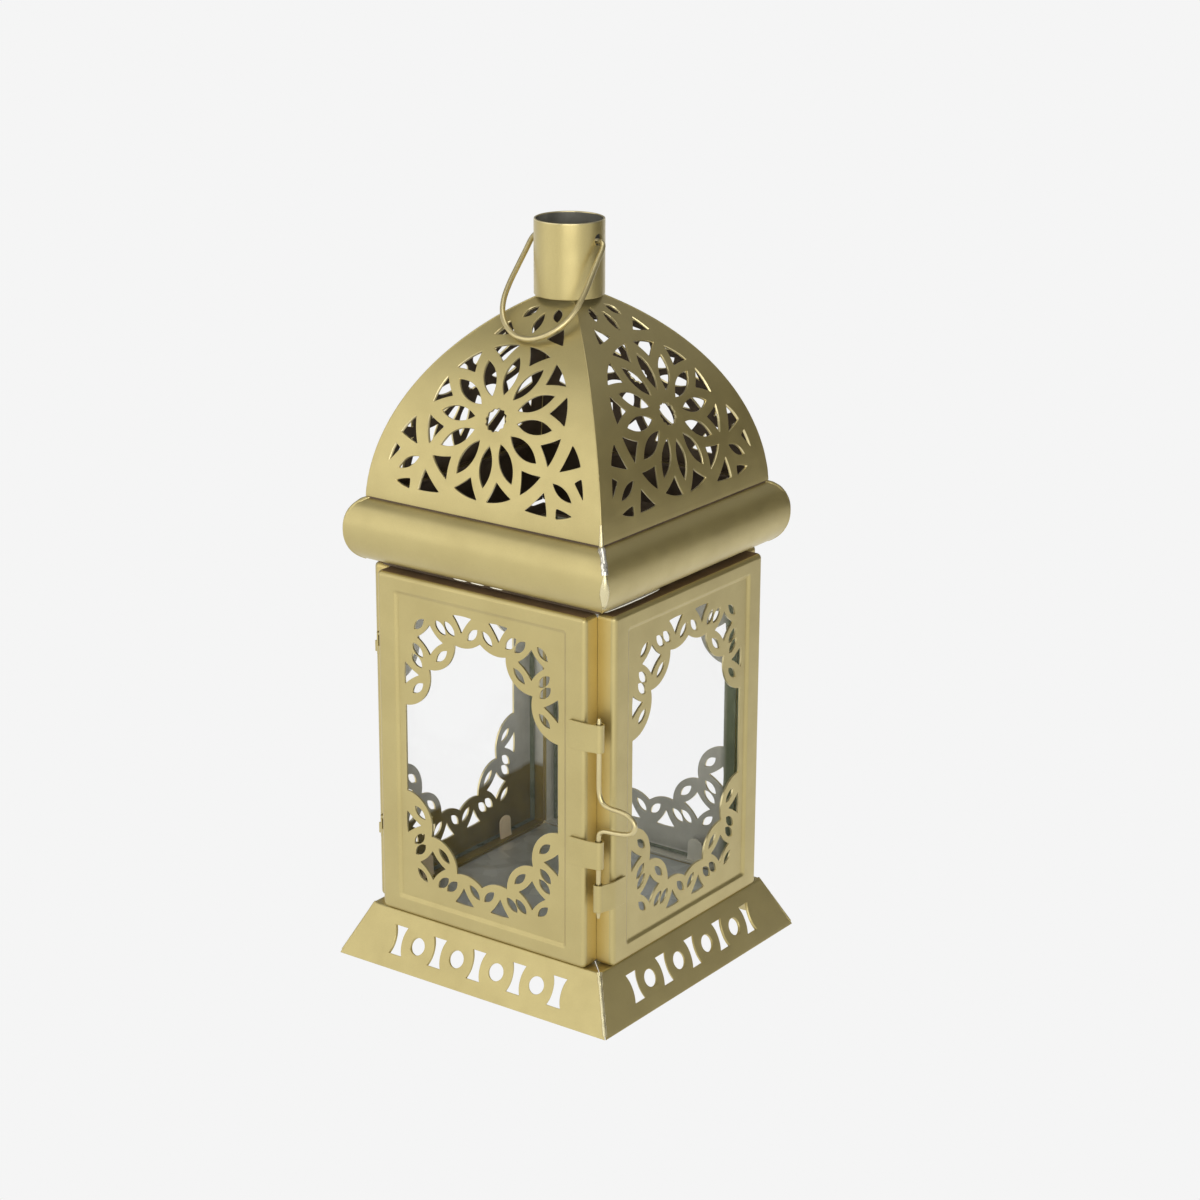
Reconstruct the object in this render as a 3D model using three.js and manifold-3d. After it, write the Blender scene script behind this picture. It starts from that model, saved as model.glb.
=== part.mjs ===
// A square, glazed candle lantern in pressed sheet metal: flared base, four tray panels with
// lace-cut windows, half-round cornice, pierced dome, chimney tube and a wire bail.
// Millimetres, +Z up. The door is the front panel, facing -Y. Its hinge is at -X and its latch
// bolt at +X. The origin is at the centre of the whole footprint, on the surface it stands on. The
// bolt's thumb loop reaches past the base at +X, so the lantern's own axis is a little to the left.
import * as THREE from "three";
import { mergeVertices } from "three/addons/utils/BufferGeometryUtils.js";
import Module from "manifold-3d";

const wasm = await Module();
wasm.setup();

// ---- driving dimensions -------------------------------------------------------------------
const SHEET = 0.8; // thickness of the pressed sheet
const GAP = 0.3; // clearance between separate pieces
const QUARTER = Math.PI / 2;

// the lantern's axis in the frame: half of what the thumb loop reaches past the base
const AXIS_X = -2.8;

// base skirt: a flared frame with an inward deck flange at its top
const BASE_HALF = 56; // half the side at the foot
const DECK_HALF = 47.6; // half the side at the top crease
const DECK_TOP = 18.1;
const DECK_INNER_HALF = 38;
const SLOT_PITCH = 16.7; // bone slot to bone slot
const SLOT_LENGTH = 9.8;
const SLOT_END_WIDTH = 5.4;
const SLOT_WAIST = 3.2;
const ROUND_HOLE_R = 2.95;
const CORNER_STRIP_FROM = 43; // corner strips lap the skirts from here outwards

// tray panels
const FACE = 49; // distance of a panel's outer face from the axis
const PANEL_HALF = 42.3; // half a panel's width
const TRAY_DEPTH = 6.4;
const STOP_LIP = 1; // how much deeper the side panels' upright flanges are, as stops for door and back
const PANEL_LOW = DECK_TOP + GAP;
const PANEL_TOP = 137.9;
const PANEL_MID = (PANEL_LOW + PANEL_TOP) / 2;
const FIELD_HALF = 34.4; // the sunken field around the window
const FIELD_RISE = 53.8;
const FIELD_SINK = 0.4;
const FIELD_LAP = 0.8;
const WINDOW_HALF = 31.2;

// glass panes and the tongues that hold them
const GLASS_FRONT = FACE - FIELD_SINK - SHEET - GAP - 0.1;
const GLASS_THICK = 2;
const GLASS_HALF = 40.6;
const GLASS_LOW = PANEL_LOW + SHEET + GAP;
const GLASS_TOP = PANEL_TOP - SHEET - GAP;
const TONGUE_OFFSET = 22;
const TONGUE_WIDTH = 6;
const TONGUE_LENGTH = 8.5;

// floor plate and top frame
const FLOOR_HALF = FACE - TRAY_DEPTH - STOP_LIP - GAP;
const TOP_FRAME_HALF = 43.6;
const TOP_FRAME_INNER = 35;
const TOP_FRAME_LOW = PANEL_TOP + GAP;
const LUG_HALF = 12;
const LUG_TOP = 147;

// cornice: a superelliptic half-round moulding
const CORNICE_INNER = 44;
const CORNICE_MID = 150.8;
const CORNICE_REACH = 8.9;
const CORNICE_RISE = 10.8;
const CORNICE_POWER = 2.3;

// dome: four gores, each bent about one horizontal axis
const DOME_R = 81.2;
const DOME_CENTRE_REACH = -33.55;
const DOME_CENTRE_Z = 156.27;
const DOME_LOW = 161.9;
const DOME_STEPS = 9;
const NECK_REACH = 7.2; // where the gores turn up inside the tube
const NECK_TOP = 231;

// chimney tube
const TUBE_R = 11.5;
const TUBE_WALL = 0.7;
const TUBE_LOW = 226.7;
const TUBE_TOP = 251.4;
const TUBE_SIDES = 36;

// bail
const BAIL_WIRE_R = 0.9;
const BAIL_PIVOT_Z = 244.9;
const BAIL_HOLE_R = 1.7;
const BAIL_HOLE_Z = BAIL_PIVOT_Z + 0.6;
const BAIL_REST = THREE.MathUtils.degToRad(40); // its lean from straight down, over the front gore
const BAIL_DROP = 37.4;

// latch
const BOLT_X = 46.9;
const BOLT_Y = -47.6;
const BOLT_R = 0.8;
const CLIP_SHEET = 0.6;
const CLIP_BORE_R = BOLT_R + GAP;
const CLIP_HEIGHT = 9.4;
const CLIP_REACH = 36.8; // how far in the straps start on their panels
const UPPER_CLIP_LOW = 94.3;
const LOWER_CLIP_LOW = 54.6;
const CATCH_LOW = 39.7;

// door hinges
const HINGE_X = -44.3;
const HINGE_Y = -44.3;
const HINGE_PIN_R = 0.8;
const HINGE_BARREL_R = 1.6;
const HINGE_BORE_R = 0.9;
const KNUCKLE = 3.8;
const HINGE_LEVELS = { upper: 111, lower: 45.8 };

// ---- materials ----------------------------------------------------------------------------
const gold = new THREE.MeshStandardMaterial({ color: 0xb5a469, roughness: 0.42, metalness: 0.75 });
const wireGold = new THREE.MeshStandardMaterial({ color: 0xc3b684, roughness: 0.35, metalness: 0.85 });
const darkSheet = new THREE.MeshStandardMaterial({ color: 0x4a3d22, roughness: 0.6, metalness: 0.5 });
const zincSheet = new THREE.MeshStandardMaterial({ color: 0x77766c, roughness: 0.5, metalness: 0.8 });
const pinSteel = new THREE.MeshStandardMaterial({ color: 0x8d8468, roughness: 0.4, metalness: 0.9 });
const clearGlass = new THREE.MeshStandardMaterial({
  color: 0xdfe8e2,
  roughness: 0.05,
  metalness: 0,
  transparent: true,
  opacity: 0.3,
});

// ---- solids -------------------------------------------------------------------------------
// A three.js geometry as a manifold solid, and a solid as a geometry.
function solidOf(geometry) {
  const bare = new THREE.BufferGeometry();
  const flat = geometry.index ? geometry.toNonIndexed() : geometry;
  bare.setAttribute("position", flat.getAttribute("position").clone());
  const merged = mergeVertices(bare, 1e-4);
  return new wasm.Manifold(
    new wasm.Mesh({
      numProp: 3,
      vertProperties: merged.getAttribute("position").array,
      triVerts: new Uint32Array(merged.index.array),
    }),
  );
}

function geometryOf(solid) {
  const mesh = solid.getMesh();
  const geometry = new THREE.BufferGeometry();
  geometry.setAttribute("position", new THREE.BufferAttribute(mesh.vertProperties, 3));
  geometry.setIndex(new THREE.BufferAttribute(mesh.triVerts, 1));
  const faceted = geometry.toNonIndexed();
  faceted.computeVertexNormals();
  return faceted;
}

const joined = (solids) => solids.reduce((all, next) => all.add(next));

function shapeOf(points, holes = []) {
  const shape = new THREE.Shape(points.map(([x, y]) => new THREE.Vector2(x, y)));
  shape.holes = holes.map((hole) => new THREE.Path(hole.map(([x, y]) => new THREE.Vector2(x, y))));
  return shape;
}

// A prism of an outline, from z = 0 up to its depth.
const prism = (points, depth, holes = []) =>
  new THREE.ExtrudeGeometry(shapeOf(points, holes), { depth, bevelEnabled: false });

const box = ([x0, y0, z0], [x1, y1, z1]) =>
  solidOf(
    new THREE.BoxGeometry(x1 - x0, y1 - y0, z1 - z0).translate((x0 + x1) / 2, (y0 + y1) / 2, (z0 + z1) / 2),
  );

// An upright plate: an outline in X and Z with its outer face at y = -reach.
function frontPlate(points, reach, thickness, holes = []) {
  const upright = (outline, depth) =>
    solidOf(prism(outline, depth).rotateX(QUARTER).translate(0, (depth + thickness) / 2 - reach, 0));
  const plate = upright(points, thickness);
  return holes.length ? plate.subtract(joined(holes.map((hole) => upright(hole, 3 * thickness)))) : plate;
}

const rectangle = (halfX, low, high) => [
  [-halfX, low],
  [halfX, low],
  [halfX, high],
  [-halfX, high],
];

// The front quarter of the plan, between the two mitre planes.
function frontQuarter(clearance) {
  const far = 80;
  const tall = 400;
  const corner = [
    [0, -clearance],
    [-far, -far - clearance],
    [far, -far - clearance],
  ];
  return solidOf(prism(corner, tall).translate(0, 0, -tall / 4));
}

// A front side: a section in reach (distance from the axis) and height, run along X and mitred.
function mitredSide(section, clearance = GAP / 2) {
  const run = 2 * BASE_HALF + 8;
  const bar = prism(section, run)
    .applyMatrix4(
      new THREE.Matrix4().makeBasis(
        new THREE.Vector3(0, -1, 0),
        new THREE.Vector3(0, 0, 1),
        new THREE.Vector3(-1, 0, 0),
      ),
    )
    .translate(run / 2, 0, 0);
  return solidOf(bar).intersect(frontQuarter(clearance * Math.SQRT2));
}

// A section that follows a curve (outer points, listed upwards) at a constant thickness.
function skin(outer, thickness) {
  const inner = outer.map(([reach, z], i) => {
    const [r0, z0] = outer[Math.max(0, i - 1)];
    const [r1, z1] = outer[Math.min(outer.length - 1, i + 1)];
    const length = Math.hypot(r1 - r0, z1 - z0);
    return [reach - ((z1 - z0) / length) * thickness, z + ((r1 - r0) / length) * thickness];
  });
  return [...outer, ...inner.reverse()];
}

// ---- pierced outlines ---------------------------------------------------------------------
const turned = ([x, y], angle) => [
  x * Math.cos(angle) - y * Math.sin(angle),
  x * Math.sin(angle) + y * Math.cos(angle),
];

// A pointed leaf made of two arcs, with its long axis at an angle in degrees.
function leaf(cx, cy, length, width, degrees, steps = 2) {
  const points = [];
  const angle = THREE.MathUtils.degToRad(degrees);
  for (const side of [1, -1])
    for (let i = 0; i < steps; i += 1) {
      const along = side * (0.5 - i / steps);
      const [x, y] = turned([along * length, side * (0.5 - 2 * along * along) * width], angle);
      points.push([cx + x, cy + y]);
    }
  return points;
}

function ring(cx, cy, radius, sides) {
  const points = [];
  for (let i = 0; i < sides; i += 1) {
    const angle = (2 * Math.PI * (i + 0.5)) / sides;
    points.push([cx + radius * Math.cos(angle), cy + radius * Math.sin(angle)]);
  }
  return points;
}

const mirrorX = (points) => points.map(([x, y]) => [-x, y]).reverse();
const mirrorY = (points) => points.map(([x, y]) => [x, -y]).reverse();

// The window lace. Each corner is a disc with a four-pointed star in it, and two half discs
// beside it. The corner is symmetric about its diagonal.
const STAR = [-20.7, 39.7];
const DISC_R = 10.3;
const SIDE_DISC_R = 11.3;
const SIDE_DISC_STEP = [13.3, 11.3];

// Mirrors a point about the corner's diagonal.
const acrossDiagonal = ([x, y]) => [STAR[0] - (y - STAR[1]), STAR[1] - (x - STAR[0])];

function cornerLace() {
  const star = [
    [STAR[0] - 5.4, STAR[1]],
    [STAR[0], STAR[1] - 5.2],
    [STAR[0] + 5.4, STAR[1]],
    [STAR[0], STAR[1] + 5.2],
  ];
  const upper = [
    leaf(STAR[0] + 4.9, STAR[1] + 5.1, 6, 2.4, -45),
    leaf(STAR[0] + 8.3, STAR[1] + 5.4, 6, 2.4, -45),
    [
      [STAR[0] + 13.1, STAR[1] + 5.1],
      [STAR[0] + 17, STAR[1] + 10.4],
      [STAR[0] + 9.8, STAR[1] + 10.4],
    ],
    leaf(STAR[0] + 17.7, STAR[1] + 5.3, 5.9, 2.4, 45),
  ];
  const lower = upper.map((hole) => hole.map(acrossDiagonal).reverse());
  const outerLeaf = leaf(STAR[0] - 4.2, STAR[1] + 4.9, 5.6, 2.4, 45);
  const innerLeaf = leaf(STAR[0] + 5, STAR[1] - 4.6, 6.2, 2.4, 45);
  return [star, ...upper, ...lower, outerLeaf, innerLeaf];
}

// Where two discs cross, on the side nearer the middle of the window.
function crossing([ax, ay, ar], [bx, by, br]) {
  const dx = bx - ax;
  const dy = by - ay;
  const apart = Math.hypot(dx, dy);
  const along = (apart * apart + ar * ar - br * br) / (2 * apart);
  const off = Math.sqrt(ar * ar - along * along);
  const middle = [ax + (dx * along) / apart, ay + (dy * along) / apart];
  const candidates = [1, -1].map((s) => [middle[0] - (s * dy * off) / apart, middle[1] + (s * dx * off) / apart]);
  return candidates.sort((p, q) => Math.hypot(...p) - Math.hypot(...q))[0];
}

// The big opening: straight sides, and an edge of disc arcs above and below.
function windowOpening(steps = 4) {
  const side = [STAR[0] - SIDE_DISC_STEP[1], STAR[1] - SIDE_DISC_STEP[0], SIDE_DISC_R];
  const corner = [STAR[0], STAR[1], DISC_R];
  const top = [STAR[0] + SIDE_DISC_STEP[0], STAR[1] + SIDE_DISC_STEP[1], SIDE_DISC_R];
  const topTwin = [-top[0], top[1], top[2]];
  const start = [
    -WINDOW_HALF,
    side[1] - Math.sqrt(SIDE_DISC_R * SIDE_DISC_R - (WINDOW_HALF + side[0]) ** 2),
  ];
  const stops = [start, crossing(side, corner), crossing(corner, top), crossing(top, topTwin)];
  const quarter = [];
  [side, corner, top].forEach(([cx, cy, radius], i) => {
    const from = Math.atan2(stops[i][1] - cy, stops[i][0] - cx);
    const to = Math.atan2(stops[i + 1][1] - cy, stops[i + 1][0] - cx);
    for (let step = 0; step < steps; step += 1) {
      const angle = from + ((to - from) * step) / steps;
      quarter.push([cx + radius * Math.cos(angle), cy + radius * Math.sin(angle)]);
    }
  });
  const half = [...quarter, stops[3], ...mirrorX(quarter)];
  return [...half, ...mirrorY(half)];
}

function windowHoles() {
  const corner = cornerLace();
  const upper = [...corner, ...corner.map(mirrorX)];
  return [windowOpening(), ...upper, ...upper.map(mirrorY)];
}

// The dome's rosette, in the flat sheet: across, and along the gore from its lower edge.
const ROSETTE_UP = 32.3;
const ROSETTE_FOLDS = 12;
const ROSETTE_HUB_R = 3.7;
const PETAL_MID_R = 15.2;
const PETAL_LENGTH = 13.4;
const PETAL_WIDTH = 4.6;

function goreHoles() {
  const holes = [ring(0, ROSETTE_UP, ROSETTE_HUB_R, ROSETTE_FOLDS)];
  for (let i = 0; i < ROSETTE_FOLDS; i += 1) {
    const petal = (360 * i) / ROSETTE_FOLDS;
    const [px, py] = turned([PETAL_MID_R, 0], THREE.MathUtils.degToRad(petal));
    holes.push(leaf(px, ROSETTE_UP + py, PETAL_LENGTH, PETAL_WIDTH, petal, 3));
    const between = THREE.MathUtils.degToRad(petal + 180 / ROSETTE_FOLDS);
    const spandrel = [
      [19.8, 0],
      [25.6, -4.7],
      [26.3, 0],
      [25.6, 4.7],
    ];
    holes.push(spandrel.map((p) => turned(p, between)).map(([x, y]) => [x, ROSETTE_UP + y]));
  }
  const footCorner = [
    [
      [23.6, 12.6],
      [17.6, 6.2],
      [25.7, 5.9],
    ],
    [
      [29.3, 8.6],
      [29.3, 5.5],
      [35.2, 7.2],
    ],
    leaf(30.8, 13.9, 9.2, 2.6, -32),
    [
      [34.9, 17.8],
      [38.9, 13.1],
      [37.1, 19.1],
    ],
    [
      [31.2, 28.8],
      [28.6, 20.2],
      [35.8, 22.9],
    ],
  ];
  const crown = [
    [
      [6.4, 62.4],
      [13.6, 60.9],
      [10.6, 66.8],
    ],
    leaf(5.3, 71.9, 6.4, 2.9, 118),
  ];
  const right = [...footCorner, ...crown];
  holes.push(...right, ...right.map(mirrorX), leaf(0, 67.7, 8.6, 2.7, 90));
  return holes;
}

// ---- sub-parts, each built as the front one of its kind ------------------------------------
const skirtLean = Math.atan2(BASE_HALF - DECK_HALF, DECK_TOP);

// Puts an outline of the sloping face (across, and up from the middle of the slope) through it.
function throughSkirt(points) {
  const deep = 8;
  const midReach = (BASE_HALF + DECK_HALF) / 2;
  return solidOf(
    prism(points, deep)
      .translate(0, 0, -deep / 2)
      .rotateX(QUARTER)
      .rotateX(-skirtLean)
      .translate(0, -midReach, DECK_TOP / 2),
  );
}

function boneSlot(centre) {
  const end = SLOT_END_WIDTH / 2;
  const waist = SLOT_WAIST / 2;
  const half = SLOT_LENGTH / 2;
  const right = [
    [end, -half],
    [waist, -half * 0.3],
    [waist, half * 0.3],
    [end, half],
  ];
  return [...right, ...mirrorX(right)].map(([x, y]) => [x + centre, y]);
}

function baseSkirt() {
  const wall = SHEET / Math.cos(skirtLean);
  const slope = (BASE_HALF - DECK_HALF) / DECK_TOP;
  const underside = DECK_TOP - SHEET;
  const section = [
    [BASE_HALF, 0],
    [DECK_HALF, DECK_TOP],
    [DECK_INNER_HALF, DECK_TOP],
    [DECK_INNER_HALF, underside],
    [BASE_HALF - wall - slope * underside, underside],
    [BASE_HALF - wall, 0],
  ];
  const cuts = [];
  for (let i = -2; i <= 2; i += 1) cuts.push(boneSlot(i * SLOT_PITCH));
  for (const i of [-1.5, -0.5, 0.5, 1.5]) cuts.push(ring(i * SLOT_PITCH, 0, ROUND_HOLE_R, 12));
  return mitredSide(section).subtract(joined(cuts.map(throughSkirt)));
}

// The strip that laps the open mitre between two skirts, on the inside, at the front right corner.
function baseCornerStrip() {
  const wall = SHEET / Math.cos(skirtLean);
  const outer = BASE_HALF - wall - GAP;
  const slope = (BASE_HALF - DECK_HALF) / DECK_TOP;
  const top = DECK_TOP - SHEET - GAP;
  const low = 0.4;
  const section = [
    [outer - slope * low, low],
    [outer - slope * top, top],
    [outer - slope * top - CLIP_SHEET, top],
    [outer - slope * low - CLIP_SHEET, low],
  ];
  const side = mitredSide(section, 0);
  const far = 80;
  const frontLap = side.intersect(box([CORNER_STRIP_FROM, -far, -1], [far, far, DECK_TOP]));
  const rightLap = solidOf(geometryOf(side).rotateZ(QUARTER)).intersect(
    box([-far, -far, -1], [far, -CORNER_STRIP_FROM, DECK_TOP]),
  );
  return frontLap.add(rightLap);
}

function trayPanel(stopLip) {
  const field = rectangle(FIELD_HALF, PANEL_MID - FIELD_RISE, PANEL_MID + FIELD_RISE);
  const border = frontPlate(rectangle(PANEL_HALF, PANEL_LOW, PANEL_TOP), FACE, SHEET, [field]);
  const lace = windowHoles().map((hole) => hole.map(([x, y]) => [x, y + PANEL_MID]));
  const sunken = frontPlate(
    rectangle(FIELD_HALF + FIELD_LAP, PANEL_MID - FIELD_RISE - FIELD_LAP, PANEL_MID + FIELD_RISE + FIELD_LAP),
    FACE - FIELD_SINK,
    SHEET,
    lace,
  );
  const back = -FACE + TRAY_DEPTH;
  const flanges = [
    box([-PANEL_HALF, -FACE, PANEL_LOW], [-PANEL_HALF + SHEET, back + stopLip, PANEL_TOP]),
    box([PANEL_HALF - SHEET, -FACE, PANEL_LOW], [PANEL_HALF, back + stopLip, PANEL_TOP]),
    box([-PANEL_HALF, -FACE, PANEL_LOW], [PANEL_HALF, back, PANEL_LOW + SHEET]),
    box([-PANEL_HALF, -FACE, PANEL_TOP - SHEET], [PANEL_HALF, back, PANEL_TOP]),
  ];
  const tongueFront = -GLASS_FRONT + GLASS_THICK + GAP;
  const tongues = [];
  for (const x of [-TONGUE_OFFSET, TONGUE_OFFSET])
    for (const [low, high] of [
      [PANEL_LOW, PANEL_LOW + TONGUE_LENGTH],
      [PANEL_TOP - TONGUE_LENGTH, PANEL_TOP],
    ])
      tongues.push(
        box([x - TONGUE_WIDTH / 2, tongueFront, low], [x + TONGUE_WIDTH / 2, tongueFront + SHEET, high]),
      );
  return joined([border, sunken, ...flanges, ...tongues]);
}

const glassPane = () =>
  box([-GLASS_HALF, -GLASS_FRONT, GLASS_LOW], [GLASS_HALF, -GLASS_FRONT + GLASS_THICK, GLASS_TOP]);

const floorPlate = () =>
  box([-FLOOR_HALF, -FLOOR_HALF, PANEL_LOW], [FLOOR_HALF, FLOOR_HALF, PANEL_LOW + SHEET]);

// A flat square frame on the panels, with a lug at the middle of each side that carries the cornice.
function topFrame() {
  const outer = rectangle(TOP_FRAME_HALF, -TOP_FRAME_HALF, TOP_FRAME_HALF);
  const inner = rectangle(TOP_FRAME_INNER, -TOP_FRAME_INNER, TOP_FRAME_INNER);
  const frame = solidOf(prism(outer, SHEET, [inner]).translate(0, 0, TOP_FRAME_LOW));
  const lug = new THREE.BoxGeometry(2 * LUG_HALF, SHEET, LUG_TOP - TOP_FRAME_LOW).translate(
    0,
    -TOP_FRAME_HALF + SHEET / 2,
    (LUG_TOP + TOP_FRAME_LOW) / 2,
  );
  const lugs = [0, 1, 2, 3].map((turn) => solidOf(lug.clone().rotateZ(turn * QUARTER)));
  return joined([frame, ...lugs]);
}

function corniceMoulding() {
  const steps = 14;
  const outer = [];
  for (let i = 0; i <= steps; i += 1) {
    const angle = QUARTER * ((2 * i) / steps - 1);
    const power = 2 / CORNICE_POWER;
    const reach = Math.abs(Math.cos(angle)) ** power;
    const rise = Math.sign(Math.sin(angle)) * Math.abs(Math.sin(angle)) ** power;
    outer.push([CORNICE_INNER + CORNICE_REACH * reach, CORNICE_MID + CORNICE_RISE * rise]);
  }
  return mitredSide(skin(outer, SHEET));
}

const domeAngle = (z) => Math.asin((z - DOME_CENTRE_Z) / DOME_R);
const domePoint = (angle) => [
  DOME_CENTRE_REACH + DOME_R * Math.cos(angle),
  DOME_CENTRE_Z + DOME_R * Math.sin(angle),
];

function domeGore() {
  const from = domeAngle(DOME_LOW);
  const to = Math.acos((NECK_REACH - DOME_CENTRE_REACH) / DOME_R);
  const outer = [];
  for (let i = 0; i <= DOME_STEPS; i += 1) outer.push(domePoint(from + ((to - from) * i) / DOME_STEPS));
  outer.push([NECK_REACH, NECK_TOP]);
  const shell = mitredSide(skin(outer, SHEET));
  const cutters = goreHoles().map((hole) => {
    const up = (Math.min(...hole.map((p) => p[1])) + Math.max(...hole.map((p) => p[1]))) / 2;
    const angle = from + up / DOME_R;
    const [reach, z] = domePoint(angle);
    const deep = 6;
    const flat = hole.map(([x, y]) => [x, y - up]);
    return solidOf(
      prism(flat, deep)
        .translate(0, 0, -deep / 2)
        .rotateX(QUARTER - angle)
        .translate(0, -reach, z),
    );
  });
  return shell.subtract(joined(cutters));
}

function chimneyTube() {
  const half = [
    [TUBE_R - TUBE_WALL, TUBE_LOW],
    [TUBE_R, TUBE_LOW],
    [TUBE_R, TUBE_TOP],
    [TUBE_R - TUBE_WALL, TUBE_TOP],
    [TUBE_R - TUBE_WALL, TUBE_LOW],
  ];
  const lathe = new THREE.LatheGeometry(
    half.map(([r, z]) => new THREE.Vector2(r, z)),
    TUBE_SIDES,
  ).rotateX(QUARTER);
  const drill = new THREE.CylinderGeometry(BAIL_HOLE_R, BAIL_HOLE_R, 4 * TUBE_R, 12)
    .rotateZ(QUARTER)
    .translate(0, 0, BAIL_HOLE_Z);
  return solidOf(lathe).subtract(solidOf(drill));
}

// A round wire along a smooth curve.
function wire(points, radius, steps, sides = 8) {
  const section = new THREE.Shape(ring(0, 0, radius, sides).map(([x, y]) => new THREE.Vector2(x, y)));
  const path = new THREE.CatmullRomCurve3(points, false, "centripetal");
  return solidOf(
    new THREE.ExtrudeGeometry(section, { steps, extrudePath: path, bevelEnabled: false }),
  );
}

// The bail is drawn flat, across and down from its pivot, and then leant onto the front gore.
function bailHandle() {
  const half = [
    [8.9, 2.6],
    [9.2, 1],
    [10.3, 0.05],
    [12, 0],
    [13.4, 0.7],
    [14.1, 2.6],
    [14.3, 7],
    [14.6, 13],
    [14.8, 19],
    [14.3, 24.6],
    [12.5, 29.6],
    [9.2, 33.7],
    [4.8, 36.5],
  ];
  const flat = [...half, [0, BAIL_DROP], ...mirrorX(half)];
  const points = flat.map(
    ([x, s]) => new THREE.Vector3(x, -s * Math.sin(BAIL_REST), BAIL_PIVOT_Z - s * Math.cos(BAIL_REST)),
  );
  return wire(points, BAIL_WIRE_R, 60);
}

// The bolt runs straight down through the clips, with a thumb loop that stands out sideways.
function latchBolt() {
  const side = [
    [0, 105.6],
    [0, 98],
    [0, 90],
    [0, 83],
    [0.4, 79.6],
    [1.8, 77.2],
    [4.6, 76.3],
    [8.4, 76.1],
    [11.6, 75.4],
    [13.6, 73.7],
    [14, 71.9],
    [13.1, 70.1],
    [10.6, 68.9],
    [6.6, 68.3],
    [2.8, 68],
    [0.8, 67.2],
    [0, 65.6],
    [0, 62],
    [0, 54],
    [0, 46],
    [0, 37.4],
  ];
  const points = side.map(([x, z]) => new THREE.Vector3(BOLT_X + x, BOLT_Y, z));
  return wire(points, BOLT_R, 56);
}

// A strap on the front panel's face whose end is rolled into a loop round the bolt.
function frontClip(low) {
  const rolled = CLIP_BORE_R + CLIP_SHEET;
  const strapOuter = FACE + GAP + CLIP_SHEET;
  const strap = box([CLIP_REACH, -strapOuter, low], [PANEL_HALF + 1.2, -strapOuter + CLIP_SHEET, low + CLIP_HEIGHT]);
  const neck = solidOf(
    prism(
      [
        [PANEL_HALF + 0.8, -strapOuter],
        [BOLT_X, BOLT_Y - rolled],
        [BOLT_X, BOLT_Y - rolled + CLIP_SHEET],
        [PANEL_HALF + 0.8, -strapOuter + CLIP_SHEET],
      ],
      CLIP_HEIGHT,
    ).translate(0, 0, low),
  );
  const loop = solidOf(prism(ring(BOLT_X, BOLT_Y, rolled, 16), CLIP_HEIGHT).translate(0, 0, low));
  const bore = solidOf(
    prism(ring(BOLT_X, BOLT_Y, CLIP_BORE_R, 16), CLIP_HEIGHT + 2).translate(0, 0, low - 1),
  );
  return joined([strap, neck, loop]).subtract(bore);
}

// The catch is the same strap on the right panel: the front clip mirrored about the corner's diagonal.
function catchClip() {
  const rolled = CLIP_BORE_R + CLIP_SHEET;
  const strapOuter = FACE + GAP + CLIP_SHEET;
  const high = CATCH_LOW + CLIP_HEIGHT;
  const strap = box(
    [strapOuter - CLIP_SHEET, -PANEL_HALF - 1.2, CATCH_LOW],
    [strapOuter, -CLIP_REACH, high],
  );
  const neck = solidOf(
    prism(
      [
        [strapOuter, -PANEL_HALF - 0.8],
        [strapOuter - CLIP_SHEET, -PANEL_HALF - 0.8],
        [BOLT_X + rolled - CLIP_SHEET, BOLT_Y],
        [BOLT_X + rolled, BOLT_Y],
      ],
      CLIP_HEIGHT,
    ).translate(0, 0, CATCH_LOW),
  );
  const loop = solidOf(prism(ring(BOLT_X, BOLT_Y, rolled, 16), CLIP_HEIGHT).translate(0, 0, CATCH_LOW));
  const bore = solidOf(
    prism(ring(BOLT_X, BOLT_Y, CLIP_BORE_R, 16), CLIP_HEIGHT + 2).translate(0, 0, CATCH_LOW - 1),
  );
  return joined([strap, neck, loop]).subtract(bore);
}

// Hinge knuckles: the frame's below and the door's above, on one pin.
function knuckle(low, leafFrom, leafTo) {
  const barrel = solidOf(prism(ring(HINGE_X, HINGE_Y, HINGE_BARREL_R, 16), KNUCKLE).translate(0, 0, low));
  const plate = box([...leafFrom, low], [...leafTo, low + KNUCKLE]);
  const bore = solidOf(
    prism(ring(HINGE_X, HINGE_Y, HINGE_BORE_R, 16), KNUCKLE + 2).translate(0, 0, low - 1),
  );
  return barrel.add(plate).subtract(bore);
}

function frameKnuckle(level) {
  const outer = -PANEL_HALF - GAP;
  return knuckle(level - KNUCKLE - GAP / 2, [-FACE + 0.9, outer - CLIP_SHEET], [HINGE_X, outer]);
}

function doorKnuckle(level) {
  const outer = -PANEL_HALF - GAP;
  return knuckle(level + GAP / 2, [outer - CLIP_SHEET, -FACE + 0.9], [outer, HINGE_Y]);
}

const hingePin = (level) => {
  const length = 2 * KNUCKLE + 2.4;
  return solidOf(
    prism(ring(HINGE_X, HINGE_Y, HINGE_PIN_R, 12), length).translate(0, 0, level - length / 2),
  );
};

// ---- assembly -----------------------------------------------------------------------------
const SIDES = ["front", "right", "back", "left"];
const lantern = new THREE.Group();
lantern.position.x = AXIS_X;

function put(name, solid, material, turn = 0) {
  const mesh = new THREE.Mesh(geometryOf(solid), material);
  mesh.name = name;
  mesh.rotation.z = turn * QUARTER;
  lantern.add(mesh);
}

// One copy of a front part on each side, turned about the axis.
function putOnSides(nameOf, solid, material) {
  SIDES.forEach((side, turn) => put(nameOf(side), solid, material, turn));
}

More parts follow.
